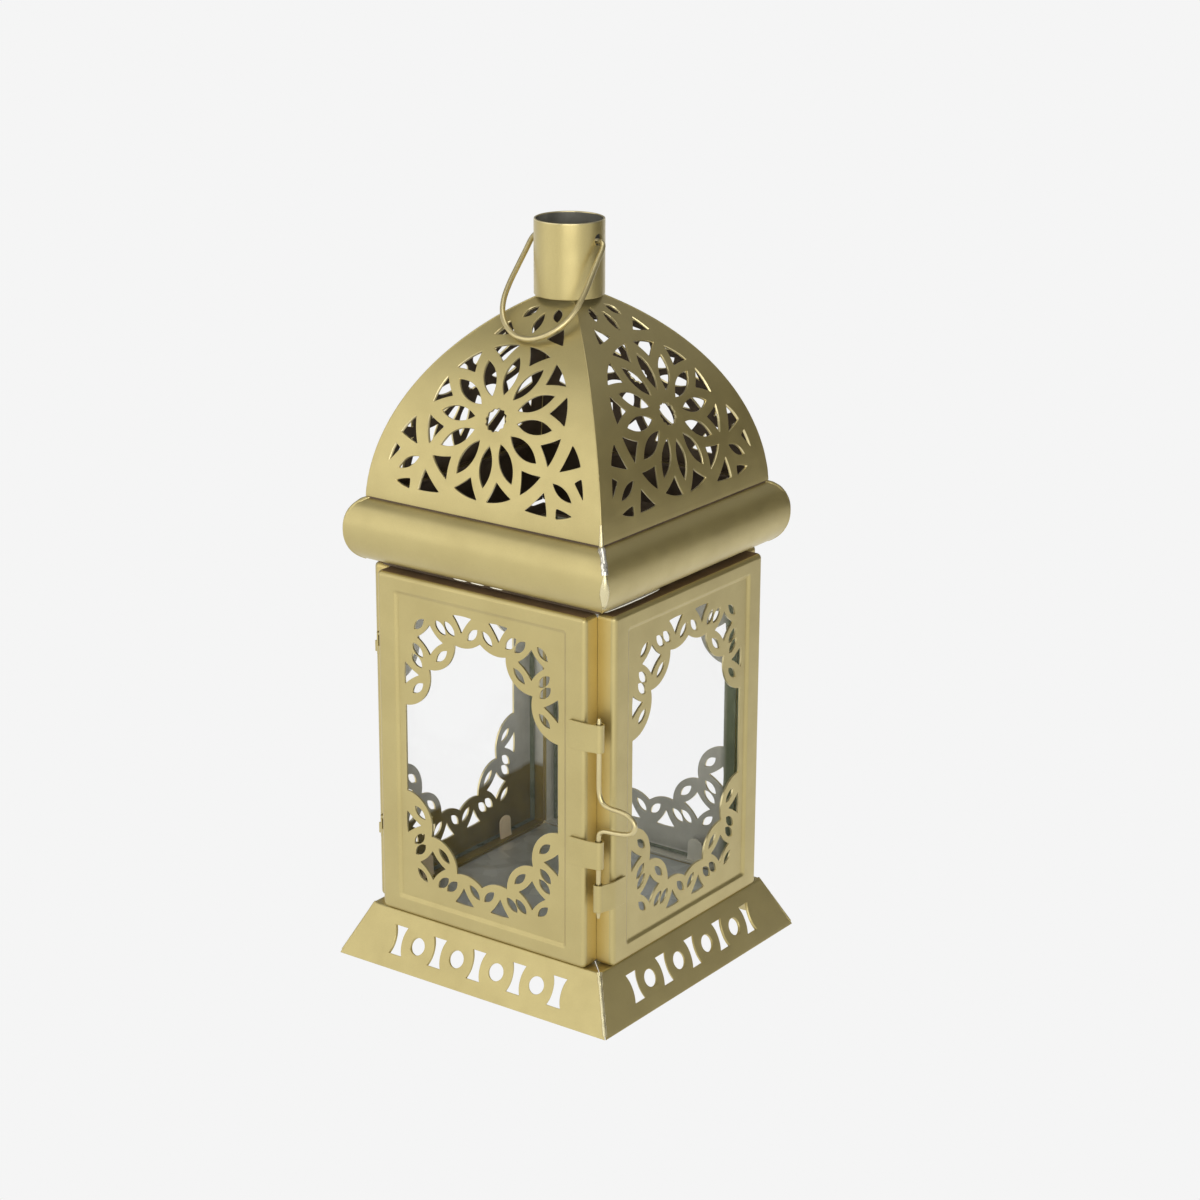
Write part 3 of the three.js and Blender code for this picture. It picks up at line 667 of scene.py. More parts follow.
def fold_path(before, corner, after, radius, steps=6):
    """Two straight runs joined by a fold of the given radius."""
    a, b, c = (Vector(p) for p in (before, corner, after))
    into, away = (a - b).normalized(), (c - b).normalized()
    half = into.angle(away) / 2
    back = radius / tan(half)
    centre = b + (into + away).normalized() * (radius / sin(half))
    start, end = b + into * back, b + away * back
    angle = (start - centre).angle(end - centre)
    points = [tuple(a)]
    for i in range(steps + 1):
        t = i / steps
        mixed = (start - centre) * sin((1 - t) * angle) + (end - centre) * sin(t * angle)
        points.append(tuple(centre + mixed / sin(angle)))
    points.append(tuple(c))
    return points


def refined(points, step):
    """The same line with points at most a step apart."""
    out = [points[0]]
    for (x0, y0), (x1, y1) in zip(points, points[1:]):
        pieces = max(1, ceil(hypot(x1 - x0, y1 - y0) / step))
        out += [(x0 + (x1 - x0) * k / pieces, y0 + (y1 - y0) * k / pieces) for k in range(1, pieces + 1)]
    return out


def bone_slot(centre, middle):
    right = []
    for i in range(13):
        t = -1 + 2 * i / 12
        right.append((SLOT_WAIST + (SLOT_END - SLOT_WAIST) * abs(t) ** 2.2, t * SLOT_HALF))
    return [(x + centre, y + middle) for x, y in right + mirror_x(right)]


def mitred_outline(path, clearance, step=1.5):
    """The outline in the flat of a sheet that is bent along a path and ends on the mitre planes."""
    stations = np.unique(np.concatenate([path.lengths, np.arange(0, path.lengths[-1], step)]))
    right = [(path.at(s)[0] - clearance, float(s)) for s in stations]
    return right + mirror_x(right)


def base_skirts():
    line = fold_path((BASE_HALF, 0), (DECK_HALF, DECK_TOP), (DECK_INNER_HALF, DECK_TOP), FOLD_R)
    path = Path(refined(line, 3))
    outline = mitred_outline(path, SKIRT_MITRE)
    middle = hypot(BASE_HALF - DECK_HALF, DECK_TOP) / 2
    holes = [bone_slot(i * SLOT_PITCH, middle) for i in range(-2, 3)]
    holes += [circle(i * SLOT_PITCH, middle, ROUND_HOLE_R) for i in (-1.5, -0.5, 0.5, 1.5)]
    for turn, side in enumerate(SIDES):
        bm = flat_sheet(outline, holes, SHEET, 0.15)
        slice_along(bm, path.lengths[1:-1])
        wrap(bm, path)
        for vert in bm.verts:
            vert.co.z = max(vert.co.z, 0)  # the lower edge is cut level
        finish_piece(f"skirt_{side}", bm, [GOLD], [f"base_skirt_{side}"], turn)


# ---- tray panels ----
OUTSIDE, INSIDE, TAB, CUT, FLANGE, FOLD = range(6)  # the places of a panel's materials
FIELD_LAP = 1.6  # how far the field runs on behind the border
FIELD_CLEAR = 0.03  # and how far behind it stays


def panel_owner(side):
    """The word in the names of a side's panel and pane, and the body they ride on: the front is the door."""
    return ("door", "door") if side == "front" else (side, "lantern")


def rounded_ring(half_x, half_z, radius, depth, steps=6):
    """A rounded rectangle at a depth behind the panel's face, of the same count of points for any size."""
    points = []
    for corner, (sx, sz) in enumerate(((1, 1), (-1, 1), (-1, -1), (1, -1))):
        cx, cz = sx * (half_x - radius), sz * (half_z - radius)
        points += arc(cx, cz, radius, QUARTER * corner, QUARTER * (corner + 1), steps)
    return [(x, -FACE + depth, PANEL_MID + z) for x, z in points]


def sweep_rings(bm, rings, outer_count):
    """Joins rings of points into a closed skin: the flange's side, the rest of the outside, the inside."""
    rows = [[bm.verts.new(point) for point in ring] for ring in rings]
    for number, face in enumerate(join_rows(bm, rows, closed=True)):
        row = number // len(rings[0])
        if row == 0:
            # the flange's side gets the warmer gold of painted bounce light
            face.material_index = FLANGE
        elif row >= outer_count:
            face.material_index = INSIDE


def tray_rings():
    """The folded rim and raised border, as rings from the flange's edge round to the field and back."""
    corner = 1.7
    fold = 1.7
    outer = [(PANEL_HALF, PANEL_RISE, corner, TRAY_DEPTH)]
    inner = [(PANEL_HALF - SHEET, PANEL_RISE - SHEET, corner - SHEET, TRAY_DEPTH)]
    for i in range(9):
        angle = QUARTER * i / 8
        for rings, radius, inset in ((outer, fold, 0), (inner, fold - SHEET, SHEET)):
            d = inset + radius * (1 - cos(angle))
            depth = inset + radius * (1 - sin(angle))
            rings.append((PANEL_HALF - d, PANEL_RISE - d, max(0.2, corner - d), depth))
    half_step = 0.8
    for i in range(9):
        t = i / 8
        drop = FIELD_SINK * (3 * t * t - 2 * t**3)
        out = half_step - 2 * half_step * t
        for rings, depth in ((outer, 0), (inner, SHEET)):
            rings.append((FIELD_HALF + out, FIELD_RISE + out, 1.2 - 0.6 * t, drop + depth))
    return outer, inner[::-1]


def glass_tongue(x, low, up):
    """A short tab, bent up from the flange, that leans on the back of the pane; its end is round."""
    length, half, rounding = 8.4, 3.0, 2.2
    outline = [(-half, 0), (half, 0)]
    for i in range(13):
        angle = pi * i / 12
        outline.append((half * cos(angle), length - rounding + rounding * sin(angle)))
    bm = flat_sheet(outline, [], 0.6, 0.1)
    slice_along(bm, [1.0, 2.0, 4.0])
    base = -GLASS_FRONT + GLASS_THICK + 0.35
    foot, fade = 0.6, 1.6  # how far its foot stands off, and over what length that fades
    for vert in bm.verts:
        along, thick = vert.co.y, vert.co.z
        lean = foot * exp(-along / fade)
        vert.co = (x + vert.co.x, base - thick + lean, low + up * along)
    return bm


def stop_lip(x):
    """The deeper edge of a side panel's flange, which the door and the back close on."""
    back = -FACE + TRAY_DEPTH
    low = (x + 0.05, back - 0.3, PANEL_LOW + SHEET + 0.5)
    high = (x + SHEET - 0.05, back + STOP_LIP, PANEL_TOP - 1.7)
    return box_mesh(low, high)


def sunken_field(holes):
    """The pierced field inside a panel's border."""
    half, rise = FIELD_HALF + FIELD_LAP, FIELD_RISE + FIELD_LAP
    bm = flat_sheet([(-half, -rise), (half, -rise), (half, rise), (-half, rise)], holes, SHEET)
    for vert in bm.verts:
        x, z, out = vert.co
        vert.co = (x, -FACE + FIELD_SINK + FIELD_CLEAR - out, PANEL_MID + z)
    paint(bm, INSIDE, lambda face: face.normal.y > 0.7)
    # the walls of the holes get the lighter cut-edge gold, partly painted highlight
    paint(bm, CUT, lambda face: abs(face.normal.y) < 0.8)
    return bm


def is_upper_flange(face):
    return face.normal.z > 0.9 and face.calc_center_median().z > PANEL_TOP - 0.5


def tray_panels():
    holes = window_holes()
    for turn, side in enumerate(SIDES):
        bm = bmesh.new()
        outer, inner = tray_rings()
        sweep_rings(bm, [rounded_ring(*ring) for ring in outer + inner], len(outer))
        bmesh.ops.recalc_face_normals(bm, faces=bm.faces)
        # the top of the upper flange is dark brown: painted shade of the gap under the cornice
        paint(bm, FOLD, is_upper_flange)
        add_mesh(bm, sunken_field(holes))
        for x in (-TONGUE_OFFSET, TONGUE_OFFSET):
            for low, up in ((PANEL_LOW + 0.4, 1), (PANEL_TOP - 0.4, -1)):
                tongue = glass_tongue(x, low, up)
                paint(tongue, TAB if side == "left" else INSIDE)
                add_mesh(bm, tongue)
        if side in ("right", "left"):
            for x in (-PANEL_HALF, PANEL_HALF - SHEET):
                lip = stop_lip(x)
                # the stop lips get the same painted bounce light
                paint(lip, FLANGE)
                add_mesh(bm, lip)
        owner, body = panel_owner(side)
        # the left panel's inside is brown low down and the back panel's is dark green towards the right
        # panel: painted shade
        inside = {"left": LOWER_SHADE_INSIDE, "back": BACK_INSIDE}.get(side, PALE_INSIDE)
        looks = [GOLD, inside, TAB_METAL, CUT_EDGE_HIGHLIGHT, GOLD_BOUNCE_LIGHT, FOLD_SHADE]
        finish_piece(f"panel_{owner}", bm, looks, [f"{owner}_panel"], turn, body, smooth=40)


def glass_panes():
    rise = PANEL_RISE - SHEET - 0.3
    for turn, side in enumerate(SIDES):
        low = (-GLASS_HALF, -GLASS_FRONT, PANEL_MID - rise)
        high = (GLASS_HALF, -GLASS_FRONT + GLASS_THICK, PANEL_MID + rise)
        bm = box_mesh(low, high)
        bmesh.ops.bevel(bm, geom=bm.edges[:], offset=0.25, segments=2, affect="EDGES", profile=0.5)
        paint(bm, 1, lambda face: abs(face.normal.y) <= 0.95)
        owner, body = panel_owner(side)
        finish_piece(f"pane_{owner}", bm, [GLASS, GLASS_EDGE], [f"{owner}_glass"], turn, body)


# ---- floor and cornice ----
def floor_plate():
    """A zinc plate that falls to its edges, with cross-break ridges from corner to corner."""
    low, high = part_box("floor_plate")
    half = high.y / MM
    fall = 0.35
    ridge_rise, ridge_width = 0.22, 1.2
    count = 24
    grid = []
    for i in range(count + 1):
        row = []
        for j in range(count + 1):
            x, y = half * (2 * i / count - 1), half * (2 * j / count - 1)
            rise = fall * (1 - max(abs(x), abs(y)) / half) - fall
            apart = abs(abs(x) - abs(y)) / sqrt(2)
            ridge = ridge_rise * exp(-((apart / ridge_width) ** 2))
            row.append((x, y, rise + ridge - ridge_rise))
        grid.append(row)
    bm = bmesh.new()
    levels = []
    for level, relief in ((high.z / MM, 1), (low.z / MM, 0)):
        verts = [[bm.verts.new((x, y, level + z * relief)) for x, y, z in row] for row in grid]
        for i in range(count):
            for j in range(count):
                corners = (verts[i][j], verts[i + 1][j], verts[i + 1][j + 1], verts[i][j + 1])
                bm.faces.new(corners if relief else corners[::-1])
        levels.append(verts)
    upper, lower = levels
    edge = [(i, 0) for i in range(count)] + [(count, j) for j in range(count)]
    edge += [(i, count) for i in range(count, 0, -1)] + [(0, j) for j in range(count, 0, -1)]
    for (i, j), (k, m) in zip(edge, edge[1:] + edge[:1]):
        bm.faces.new((upper[i][j], lower[i][j], lower[k][m], upper[k][m]))
    bmesh.ops.recalc_face_normals(bm, faces=bm.faces)
    finish_piece("floor_sheet", bm, [ZINC], ["floor_plate"], smooth=20)


def thick_profile(outer, thickness):
    """A line of (reach, height) points and the same line moved inwards, as one loop."""
    path = Path(outer)
    inner = path.points - path.normals * thickness
    return [tuple(p) for p in path.points] + [tuple(p) for p in inner[::-1]]


def mitred_bar(bm, section, clearance, cuts=24):
    """Sweeps a closed section along X on the front side, between the mitre planes."""
    rows = []
    for k in range(cuts + 1):
        t = 2 * k / cuts - 1
        rows.append([bm.verts.new((t * (reach - clearance), -reach, height)) for reach, height in section])
    sheet_bar(bm, rows)


def cornice_line(steps=40):
    points = []
    for i in range(steps + 1):
        angle = QUARTER * (2 * i / steps - 1)
        power = 2 / CORNICE_POWER
        reach = abs(cos(angle)) ** power
        rise = copysign(abs(sin(angle)) ** power, sin(angle))
        points.append((CORNICE_INNER + CORNICE_REACH * reach, CORNICE_MID + CORNICE_RISE * rise))
    return points


def faces_into_cornice(face):
    middle = face.calc_center_median()
    outward = Vector((-middle.y - CORNICE_INNER + 2, middle.z - CORNICE_MID))
    return Vector((-face.normal.y, face.normal.z)).dot(outward) < 0


def cornices():
    section = thick_profile(cornice_line(), SHEET)
    for turn, side in enumerate(SIDES):
        bm = bmesh.new()
        mitred_bar(bm, section, 0.22)
        # the moulding's inner faces get dark painted shade
        paint(bm, 1, faces_into_cornice)
        finish_piece(f"cornice_moulding_{side}", bm, [GOLD, INSIDE_SHADE], [f"cornice_{side}"], turn)


# ---- dome ----
DOME_MITRE = 0.18  # clearance of a gore's side from the mitre plane


def dome_line(steps=52):
    """The gore's outer line, from a foot that rests on the cornice up to the neck."""
    cx, cz = DOME_CENTRE
    begin = asin((DOME_LOW - cz) / DOME_R)
    end = acos((NECK_REACH + 0.8 - cx) / DOME_R)
    points = arc(cx, cz, DOME_R, begin, end, steps)
    crown = points[-1][1]
    return points + [(NECK_REACH + 0.2, crown + 1.2), (NECK_REACH, crown + 2.2), (NECK_REACH, NECK_TOP)]


def dome_gores():
    path = Path(dome_line())
    outline = mitred_outline(path, DOME_MITRE)
    holes = gore_holes()
    # a recessed band under the gore's foot, which closes the gap above the cornice; it is dark, a painted
    # shadow line under the foot
    reach = path.points[0][0] - 0.45
    high, low = DOME_LOW + 0.3, DOME_LOW - 0.9
    band = [(reach, high), (reach, low), (reach - SHEET, low), (reach - SHEET, high)]
    for turn, side in enumerate(SIDES):
        bm = flat_sheet(outline, holes, SHEET, 0.2)
        slice_along(bm, path.lengths[1:-1])
        # the gores' inner faces get dark painted shade
        paint(bm, 1, lambda face: face.normal.z < -0.7)
        # the walls of the holes get the lighter cut-edge gold, partly painted highlight
        paint(bm, 2, lambda face: abs(face.normal.z) < 0.8)
        wrap(bm, path)
        foot = bmesh.new()
        mitred_bar(foot, band, DOME_MITRE)
        paint(foot, 1)
        add_mesh(bm, foot)
        looks = [GOLD, INSIDE_SHADE, CUT_EDGE_HIGHLIGHT]
        finish_piece(f"gore_{side}", bm, looks, [f"dome_gore_{side}"], turn, smooth=30)


# ---- solder ----
SOLDER_DROPS = [1.3, 0.8, 1.0, 0.6]  # how far the solder has run down each corner of the cornice


def lumps(t, pitch, seed, level):
    """A smooth noise along a bead, from -1 to 1."""
    return noise.noise(Vector((t * pitch, seed, level)))


def bell(t, middle, width):
    return exp(-(((t - middle) / width) ** 2))


def bead(name, points, radius_at, material, turn=0, sides=8):
    """A lumpy bead of metal along a line, with a radius for each part of the line from 0 to 1."""
    bm = bmesh.new()
    line = [Vector(p) for p in points]
    last = len(line) - 1
    rows = []
    for i, ahead in enumerate(directions(line)):
        upright = abs(ahead.normalized().z) >= 0.9
        across = ahead.cross(Vector((1, 0, 0)) if upright else Vector((0, 0, 1))).normalized()
        up = across.cross(ahead).normalized()
        rows.append(round_row(bm, line[i], across, up, radius_at(i / last), sides))
    round_bar(bm, rows)
    finish_piece(name, bm, [material], [], turn, smooth=60)


def corner_bead(name, line, radius_at, sunk, material, turn):
    """A bead on the corner between two sides: each point of the line is (reach, height) on both sides."""
    points = []
    for i, (reach, height) in enumerate(line):
        inset = sunk * radius_at(i / (len(line) - 1))
        points.append((reach - inset, -reach + inset, height))
    bead(name, points, radius_at, material, turn)


def part_of_line(path, begin, end, steps):
    """Points along a path between two parts of its length."""
    return [tuple(path.at(begin + (end - begin) * i / steps)[:2]) for i in range(steps + 1)]


def dome_seams():
    """Solder along the dome's ridges, flush above and lumpy towards the foot."""
    dome = Path(dome_line())
    line = part_of_line(dome, 0, dome.lengths[-3], 120)
    for turn, corner in enumerate(CORNERS):

        def radius_at(t, seed=turn):
            lump = max(0, lumps(t, 34, seed * 7.3, 0.4))
            return 0.3 + 0.55 * lump * exp(-t * 5) + 0.35 * exp(-t * 40)

        corner_bead(f"ridge_seam_{corner}", line, radius_at, 0.95 if turn else 0.85, GOLD, turn)
    # a pale bead at the foot of the near ridge, with painted highlight
    corner_bead("ridge_foot", line[:11], lambda t: 0.85 - 0.45 * t, 0.62, SOLDER_HIGHLIGHT, 0)


def cornice_seams():
    """Solder down the near mitre of the cornice, made bright there with painted highlight, with a drop where
    it has run; plain on the others.
    """
    cornice = Path(cornice_line())
    length = cornice.lengths[-1]
    upper = part_of_line(cornice, length * 0.62, length * 0.94, 30)
    lower = part_of_line(cornice, length * 0.12, length * 0.64, 30)
    for turn, corner in enumerate(CORNERS):

        def upper_radius(t, seed=turn):
            return (0.72 if seed else 1.15) + 0.45 * lumps(t, 6, seed * 3.1, 5.2)

        def lower_radius(t, drop=SOLDER_DROPS[turn]):
            return 0.3 + drop * bell(t, 0.62, 0.3)

        # the near corner's solder gets the bright materials of painted highlight; the others stay plain gold
        bright, pale = (GOLD, GOLD) if turn else (BARE_METAL_GLINT, SOLDER_HIGHLIGHT)
        corner_bead(f"cornice_seam_{corner}", upper, upper_radius, 0.85 if turn else 0.5, bright, turn)
        corner_bead(f"cornice_drop_{corner}", lower, lower_radius, 0.9 if turn else 0.74, pale, turn)


def base_seams():
    """Solder down the corners of the base, from the deck to the foot."""
    line = []
    for i in range(41):
        t = i / 40
        reach = DECK_HALF + (BASE_HALF - 0.3 - DECK_HALF) * t
        line.append((reach, (DECK_TOP - 0.3) * (1 - t) + 0.95 * t))
    for turn, corner in enumerate(CORNERS):

        def radius_at(t, seed=turn):
            size = 0.5 if seed else 0.72
            return size + 0.22 * lumps(t, 11, seed * 5.7, 9.1) + 0.3 * exp(-t * 12)

        # the near corner's seam is pale, with painted highlight
        material = GOLD if turn else SOLDER_HIGHLIGHT
        corner_bead(f"base_seam_{corner}", line, radius_at, 0.9 if turn else 0.6, material, turn)


def lip_glints():
    """Painted highlights on the cornice's lower lip, as thin beads of bright bare metal: three on the front
    and a long one on the right.
    """
    reach, low = CORNICE_INNER + 4.4, CORNICE_MID - CORNICE_RISE + 0.95
    spans = ((True, -11, -5.5), (True, -4, 1.5), (True, 4, 9), (False, -47, -17))
    for i, (on_front, begin, end) in enumerate(spans):
        line = []
        for k in range(25):
            along = begin + (end - begin) * k / 24
            line.append((along, 0.8 - reach, low - 0.35) if on_front else (reach - 0.1, along, low - 0.3))

        def radius_at(t, seed=i, size=0.34 if on_front else 0.62):
            return 0.05 + (size + 0.1 * lumps(t, 6, seed * 4.1, 2.2)) * sin(pi * t) ** 0.4

        bead(f"lip_glint_{i + 1}", line, radius_at, BARE_METAL_GLINT)


# ---- tube, bail, latch and hinges ----
BAIL_HOLE_R = 1.9

# the right half of the bail, laid flat: across, and down from its pivot, from its end inside the tube
BAIL_HALF = [
    (8.9, 2.6), (9.2, 1), (10.3, 0.05), (12, 0), (13.4, 0.7), (14.1, 2.6), (14.3, 7),
    (14.6, 13), (14.8, 19), (14.3, 24.6), (12.5, 29.6), (9.2, 33.7), (4.8, 36.5),
]

# the bolt from its top down: out from its own axis, and up; the thumb loop is at its middle
BOLT_LINE = [
    (0, 105.6), (0, 98), (0, 90), (0, 83), (0.4, 79.6), (1.8, 77.2), (4.6, 76.3),
    (8.4, 76.1), (11.6, 75.4), (13.6, 73.7), (14, 71.9), (13.1, 70.1), (10.6, 68.9), (6.6, 68.3),
    (2.8, 68), (0.8, 67.2), (0, 65.6), (0, 62), (0, 54), (0, 46), (0, 37.4),
]


def drill(piece, radius, length, height):
    """Cuts a round hole along X through a piece, on the axis."""
    bm = bmesh.new()
    bmesh.ops.create_cone(
        bm, cap_ends=True, segments=32, radius1=radius * MM, radius2=radius * MM, depth=length * MM
    )
    bmesh.ops.rotate(bm, verts=bm.verts, matrix=Matrix.Rotation(QUARTER, 3, "Y"))
    bmesh.ops.translate(bm, verts=bm.verts, vec=(AXIS_X * MM, 0, height * MM))
    cutter = add_object("drill", to_mesh("drill", bm))
    cut = piece.modifiers.new("holes", "BOOLEAN")
    cut.object = cutter
    cut.solver = "EXACT"
    apply_modifiers(piece)
    bpy.data.objects.remove(cutter)


def faces_axis(face):
    return Vector(face.calc_center_median()[:2]).dot(Vector(face.normal[:2])) < -0.2


def chimney():
    """The tube, with rounded rims and two holes for the bail."""
    bm = bmesh.new()
    lip = TUBE_WALL / 2
    middle = TUBE_R - TUBE_WALL + lip
    profile = arc(middle, TUBE_LOW + lip, lip, pi, 2 * pi, 4)
    profile += [(TUBE_R, TUBE_LOW + (TUBE_TOP - TUBE_LOW) * k / 6) for k in range(1, 6)]
    profile += arc(middle, TUBE_TOP - lip, lip, 0, pi, 4)
    around = 128
    rows = []
    for k in range(around):
        angle = 2 * pi * k / around
        rows.append([bm.verts.new((r * cos(angle), r * sin(angle), z)) for r, z in profile])
    join_rows(bm, rows, closed=True)
    bmesh.ops.recalc_face_normals(bm, faces=bm.faces)
    paint(bm, 1, faces_axis)
    # the top rim gets the lighter cut-edge gold, partly painted highlight
    paint(bm, 2, lambda face: face.normal.z > 0.3)
    tube = finish_piece("tube", bm, [GOLD, TUBE_INSIDE, CUT_EDGE_HIGHLIGHT], ["chimney_tube"], smooth=40)
    drill(tube, BAIL_HOLE_R, 4 * TUBE_R, BAIL_HOLE_Z)


def smooth_line(points, per_span=6):
    """A Catmull-Rom line through the points."""
    pts = [Vector(p) for p in points]
    pts = [pts[0] * 2 - pts[1], *pts, pts[-1] * 2 - pts[-2]]
    out = []
    for a, b, c, d in zip(pts, pts[1:], pts[2:], pts[3:]):
        for k in range(per_span):
            t = k / per_span
            square = (2 * a - 5 * b + 4 * c - d) * t * t
            cube = (3 * b - a - 3 * c + d) * t**3
            out.append(0.5 * (2 * b + (c - a) * t + square + cube))
    return [*out, pts[-2]]


WIRE_ENDS = (0.55, 0.85)  # how far the outermost rings of a wire shrink


def wire(name, points, radius, body, node, sides=16):
    """A round wire with rounded ends, along a smooth line."""
    line = smooth_line(points)
    last = len(line) - 1
    bm = bmesh.new()
    side = (line[1] - line[0]).normalized().orthogonal().normalized()
    rows = []
    for i, ahead in enumerate(directions(line)):
        ahead.normalize()
        side = (side - ahead * side.dot(ahead)).normalized()
        up = ahead.cross(side)
        from_end = min(i, last - i)
        shrink = WIRE_ENDS[from_end] if from_end < len(WIRE_ENDS) else 1
        rows.append(round_row(bm, line[i], side, up, radius * shrink, sides))
    round_bar(bm, rows)
    finish_piece(name, bm, [GOLD_WIRE], [node], 0, body, 50)


def bail():
    flat = [*BAIL_HALF, (0, BAIL_DROP), *mirror_x(BAIL_HALF)]
    lean, fall = sin(BAIL_REST), cos(BAIL_REST)
    line = [(x, -down * lean, BAIL_PIVOT_Z - down * fall) for x, down in flat]
    wire("bail_wire", line, BAIL_WIRE_R, "bail", "bail_handle")


def latch():
    wire("bolt_wire", [(BOLT_X + x, BOLT_Y, z) for x, z in BOLT_LINE], BOLT_R, "bolt", "latch_bolt")


def ribbon(name, line, thickness, low, high, body, node):
    """A strip of sheet that stands on edge along a line of (x, y) points, its outer side to the right."""
    points = [Vector(p) for p in line]
    inner = []
    for point, ahead in zip(points, directions(points)):
        ahead.normalize()
        inner.append(point + Vector((-ahead.y, ahead.x)) * thickness)
    section = [*points, *inner[::-1]]
    bm = bmesh.new()
    round_off = 0.12
    rows = []
    for height, shrink in ((low, round_off), (low + round_off, 0), (high - round_off, 0), (high, round_off)):
        row = []
        for point, mate in zip(section, reversed(section)):
            toward = (mate - point).normalized()
            row.append(bm.verts.new((*(point + toward * shrink), height)))
        rows.append(row)
    sheet_bar(bm, rows)
    finish_piece(name, bm, [GOLD], [node], 0, body, smooth=40)


CURL_STEPS = 18


def clip_line():
    """Plan of a clip: along the panel's face, past its edge, and rolled round the bolt."""
    outer = 1.7
    face = FACE + 0.9
    begin = -QUARTER - 0.25
    curl = arc(BOLT_X, BOLT_Y, outer, begin, begin + 2 * pi - 0.35, CURL_STEPS)
    return [(CLIP_REACH, -face), (41.6, -face), (43.4, -face + 0.05), *curl]


def clips():
    for name, low in (("upper", UPPER_CLIP_LOW), ("lower", LOWER_CLIP_LOW)):
        node = f"latch_clip_{name}"
        ribbon(f"clip_{name}", clip_line(), CLIP_SHEET, low, low + CLIP_HEIGHT, "door", node)
    # the catch is a clip's plan mirrored about the corner's diagonal, with its curl moved onto the bolt
    line = [(-y, -x) for x, y in reversed(clip_line())]
    shift = BOLT_X + BOLT_Y
    curl = [(x + shift, y + shift) for x, y in line[: CURL_STEPS + 1]]
    plan = curl + line[CURL_STEPS + 1 :]
    ribbon("clip_catch", plan, CLIP_SHEET, CATCH_LOW, CATCH_LOW + CLIP_HEIGHT, "lantern", "catch_clip")


def knuckle_line(is_frame):
    """Plan of a knuckle: a leaf along the flange, then a curl round the pin."""
    radius, part_turn = 1.65, 0.86
    line = [(1.7, -3.8), (1.68, -0.5), *arc(0, 0, radius, 0, 2 * pi * part_turn, 16)]
    if is_frame:
        line = [(y, x) for x, y in line]
    return [(HINGE_X + x, HINGE_Y + y) for x, y in line]


def hinge_parts():
    for place in ("upper", "lower"):
        for owner, body in (("frame", "lantern"), ("door", "door")):
            node = f"{owner}_hinge_{place}"
            low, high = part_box(node)
            is_frame = owner == "frame"
            thickness = -0.6 if is_frame else 0.6
            ribbon(f"knuckle_{node}", knuckle_line(is_frame), thickness, low.z / MM, high.z / MM, body, node)
        hinge_pin(place)


def hinge_pin(place):
    """A pin with rounded ends."""
    node = f"hinge_pin_{place}"
    low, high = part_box(node)
    radius = 0.78
    length = (high.z - low.z) / MM
    bm = bmesh.new()
    bmesh.ops.create_cone(bm, cap_ends=True, segments=20, radius1=radius, radius2=radius, depth=length)
    rims = [edge for edge in bm.edges if abs(edge.verts[0].co.z - edge.verts[1].co.z) < 1e-6]
    bmesh.ops.bevel(bm, geom=rims, offset=0.25, segments=3, affect="EDGES", profile=0.5)
    bmesh.ops.translate(bm, verts=bm.verts, vec=(HINGE_X, HINGE_Y, (low.z + high.z) / 2 / MM))
    finish_piece(f"pin_{place}", bm, [PIN_STEEL], [node], smooth=40)


def carried_over():
    """CAD nodes whose shape is right: they only get a material."""
    looks = {f"base_corner_strip_{corner}": GOLD for corner in CORNERS}
    # the top frame shows only in the gap under the cornice, and is dark there as painted shade
    looks["top_frame"] = INSIDE_SHADE
    for name, material in looks.items():
        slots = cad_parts[name].data.materials
        slots.clear()
        slots.append(material)


base_skirts()
tray_panels()
glass_panes()
floor_plate()
cornices()
dome_gores()
dome_seams()
cornice_seams()
base_seams()
lip_glints()
chimney()
bail()
latch()
clips()
hinge_parts()
carried_over()


# ---- camera, floor and light; lengths in metres apart from the camera's ----
CAMERA_AZIMUTH = 35.84
CAMERA_ELEVATION = 18.19
CAMERA_ROLL = 0.245
CAMERA_DISTANCE = 963.8
CAMERA_TARGET = (8.3 + AXIS_X, 6.01, 122.94)
CAMERA_LENS = 86.9

FLOOR_RADIUS = 14
FLOOR_RIM = 0.7  # the floor turns up at its far rim, so that low views show no horizon
FLOOR_GLOW = 0.913
WORLD_STRENGTH = 0.27
LIGHT_AIM = Vector((0, 0, 0.12))
LIGHTS = (  # name, azimuth, elevation, distance, size and power
    ("key", -32, 22, 1.7, 1.7, 10.0),
    ("front", 38, 6, 1.5, 1.3, 14),
    ("top", 0, 86, 1.5, 1.1, 5),
)


def aim(azimuth, elevation, roll=0.0):
    """A rotation that looks at the object from an azimuth and an elevation, in degrees."""
    a, e = radians(azimuth), radians(elevation)
    back = Vector((sin(a) * cos(e), -cos(a) * cos(e), sin(e)))
    turn = back.to_track_quat("Z", "Y").to_matrix()
    return turn @ Matrix.Rotation(radians(roll), 3, "Z"), back


def camera():
    data = bpy.data.cameras.new("camera")
    data.lens = CAMERA_LENS
    data.sensor_width = 36
    holder = add_object("camera", data)
    rotation, back = aim(CAMERA_AZIMUTH, CAMERA_ELEVATION, CAMERA_ROLL)
    place = (Vector(CAMERA_TARGET) + back * CAMERA_DISTANCE) * MM
    holder.matrix_world = Matrix.Translation(place) @ rotation.to_4x4()
    bpy.context.scene.camera = holder


def stage_piece(name, mesh, material):
    """Puts a mesh in the studio, outside the lantern."""
    mesh.materials.append(material)
    piece = add_object(name, mesh)
    return piece


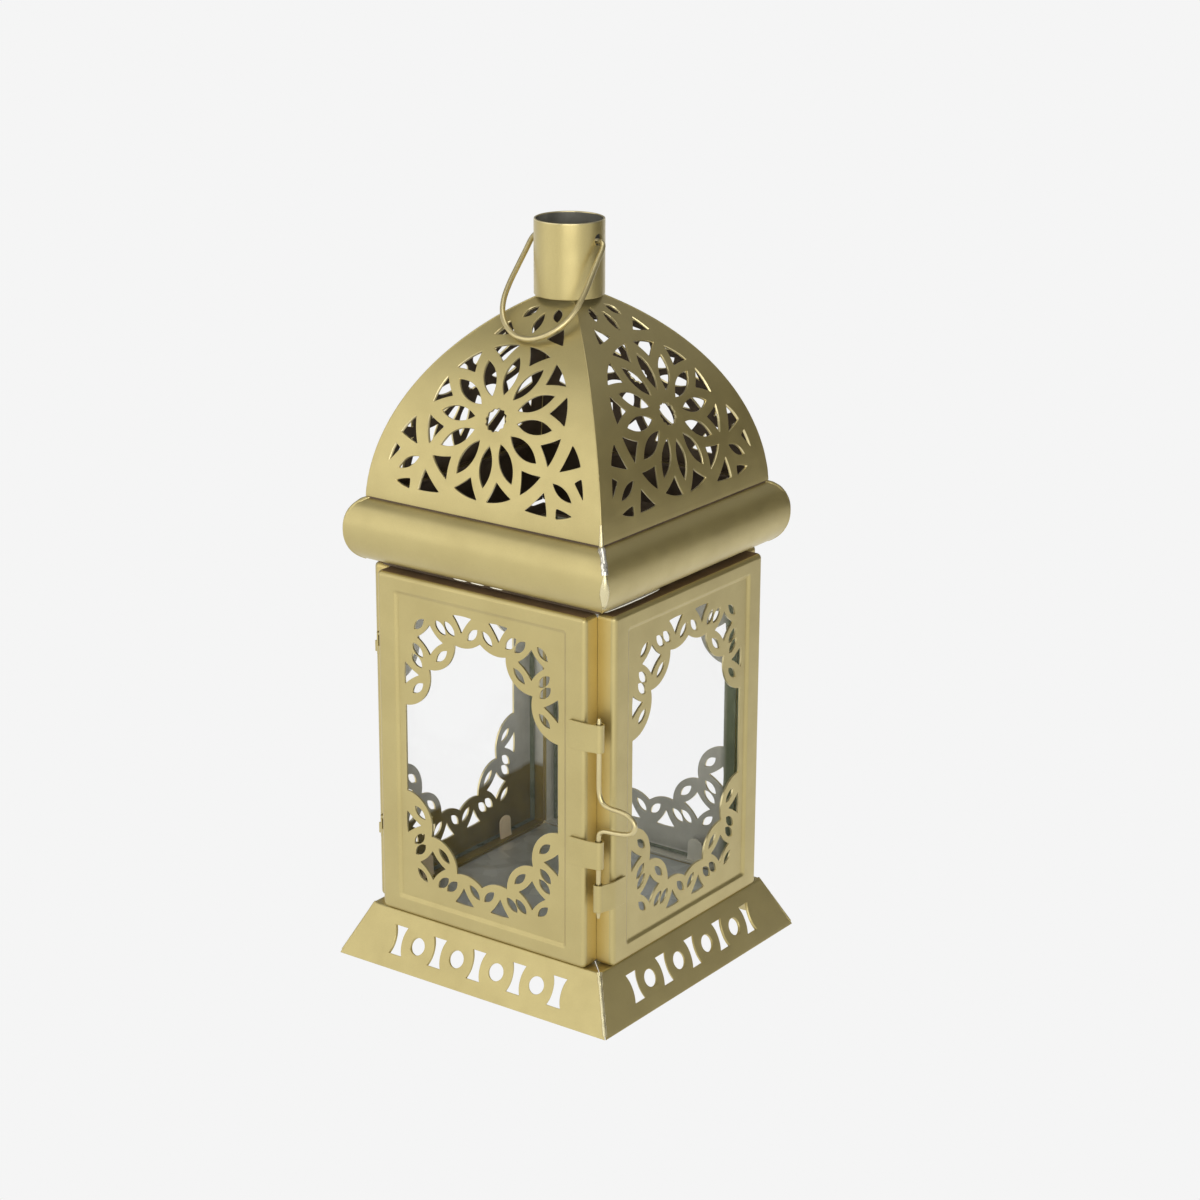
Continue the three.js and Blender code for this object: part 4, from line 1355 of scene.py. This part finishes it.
def pale_floor():
    """A floor that glows evenly and takes no light."""
    bm = bmesh.new()
    bmesh.ops.create_circle(bm, cap_ends=True, segments=96, radius=FLOOR_RADIUS)
    rim = bmesh.ops.extrude_edge_only(bm, edges=bm.edges[:])["geom"]
    raised = [part for part in rim if isinstance(part, bmesh.types.BMVert)]
    bmesh.ops.translate(bm, verts=raised, vec=(0, 0, FLOOR_RIM))
    material, _, shader = new_material("pale_floor")
    set_values(shader, {"Base Color": (0, 0, 0, 1), "Roughness": 0.9, "Specular IOR Level": 0})
    set_values(shader, {"Emission Color": (1, 1, 1, 1), "Emission Strength": FLOOR_GLOW})
    stage_piece("floor", to_mesh("floor", bm), material)


def dim_world():
    world = bpy.data.worlds.new("studio")
    world.use_nodes = True
    background = world.node_tree.nodes["Background"]
    set_values(background, {"Color": (1, 1, 1, 1), "Strength": WORLD_STRENGTH})
    bpy.context.scene.world = world


def soft_lights():
    for name, azimuth, elevation, distance, size, power in LIGHTS:
        data = bpy.data.lights.new(name, "AREA")
        data.size = size
        data.energy = power
        light = add_object(name, data)
        light.visible_camera = False
        rotation, back = aim(azimuth, elevation)
        light.matrix_world = Matrix.Translation(back * distance + LIGHT_AIM) @ rotation.to_4x4()


def dark_card():
    """A dark card behind and to the right, out of sight, that the right-hand faces mirror."""
    distance, half_width, height = 0.6, 0.36, 0.42
    rotation, back = aim(142, 0)
    across = rotation @ Vector((1, 0, 0))
    foot = back * distance + Vector((0, 0, 0.001))
    corners = [foot - across * half_width, foot + across * half_width]
    corners += [corner + Vector((0, 0, height)) for corner in reversed(corners)]
    mesh = bpy.data.meshes.new("dark_card")
    mesh.from_pydata([tuple(corner) for corner in corners], [], [(0, 1, 2, 3)])
    material, _, shader = new_material("dark_card")
    set_values(shader, {"Base Color": (0.08, 0.07, 0.05, 1), "Roughness": 1})
    card = stage_piece("dark_card", mesh, material)
    card.visible_camera = False


camera()
pale_floor()
dim_world()
soft_lights()
dark_card()
bpy.context.scene.view_settings.view_transform = "Standard"
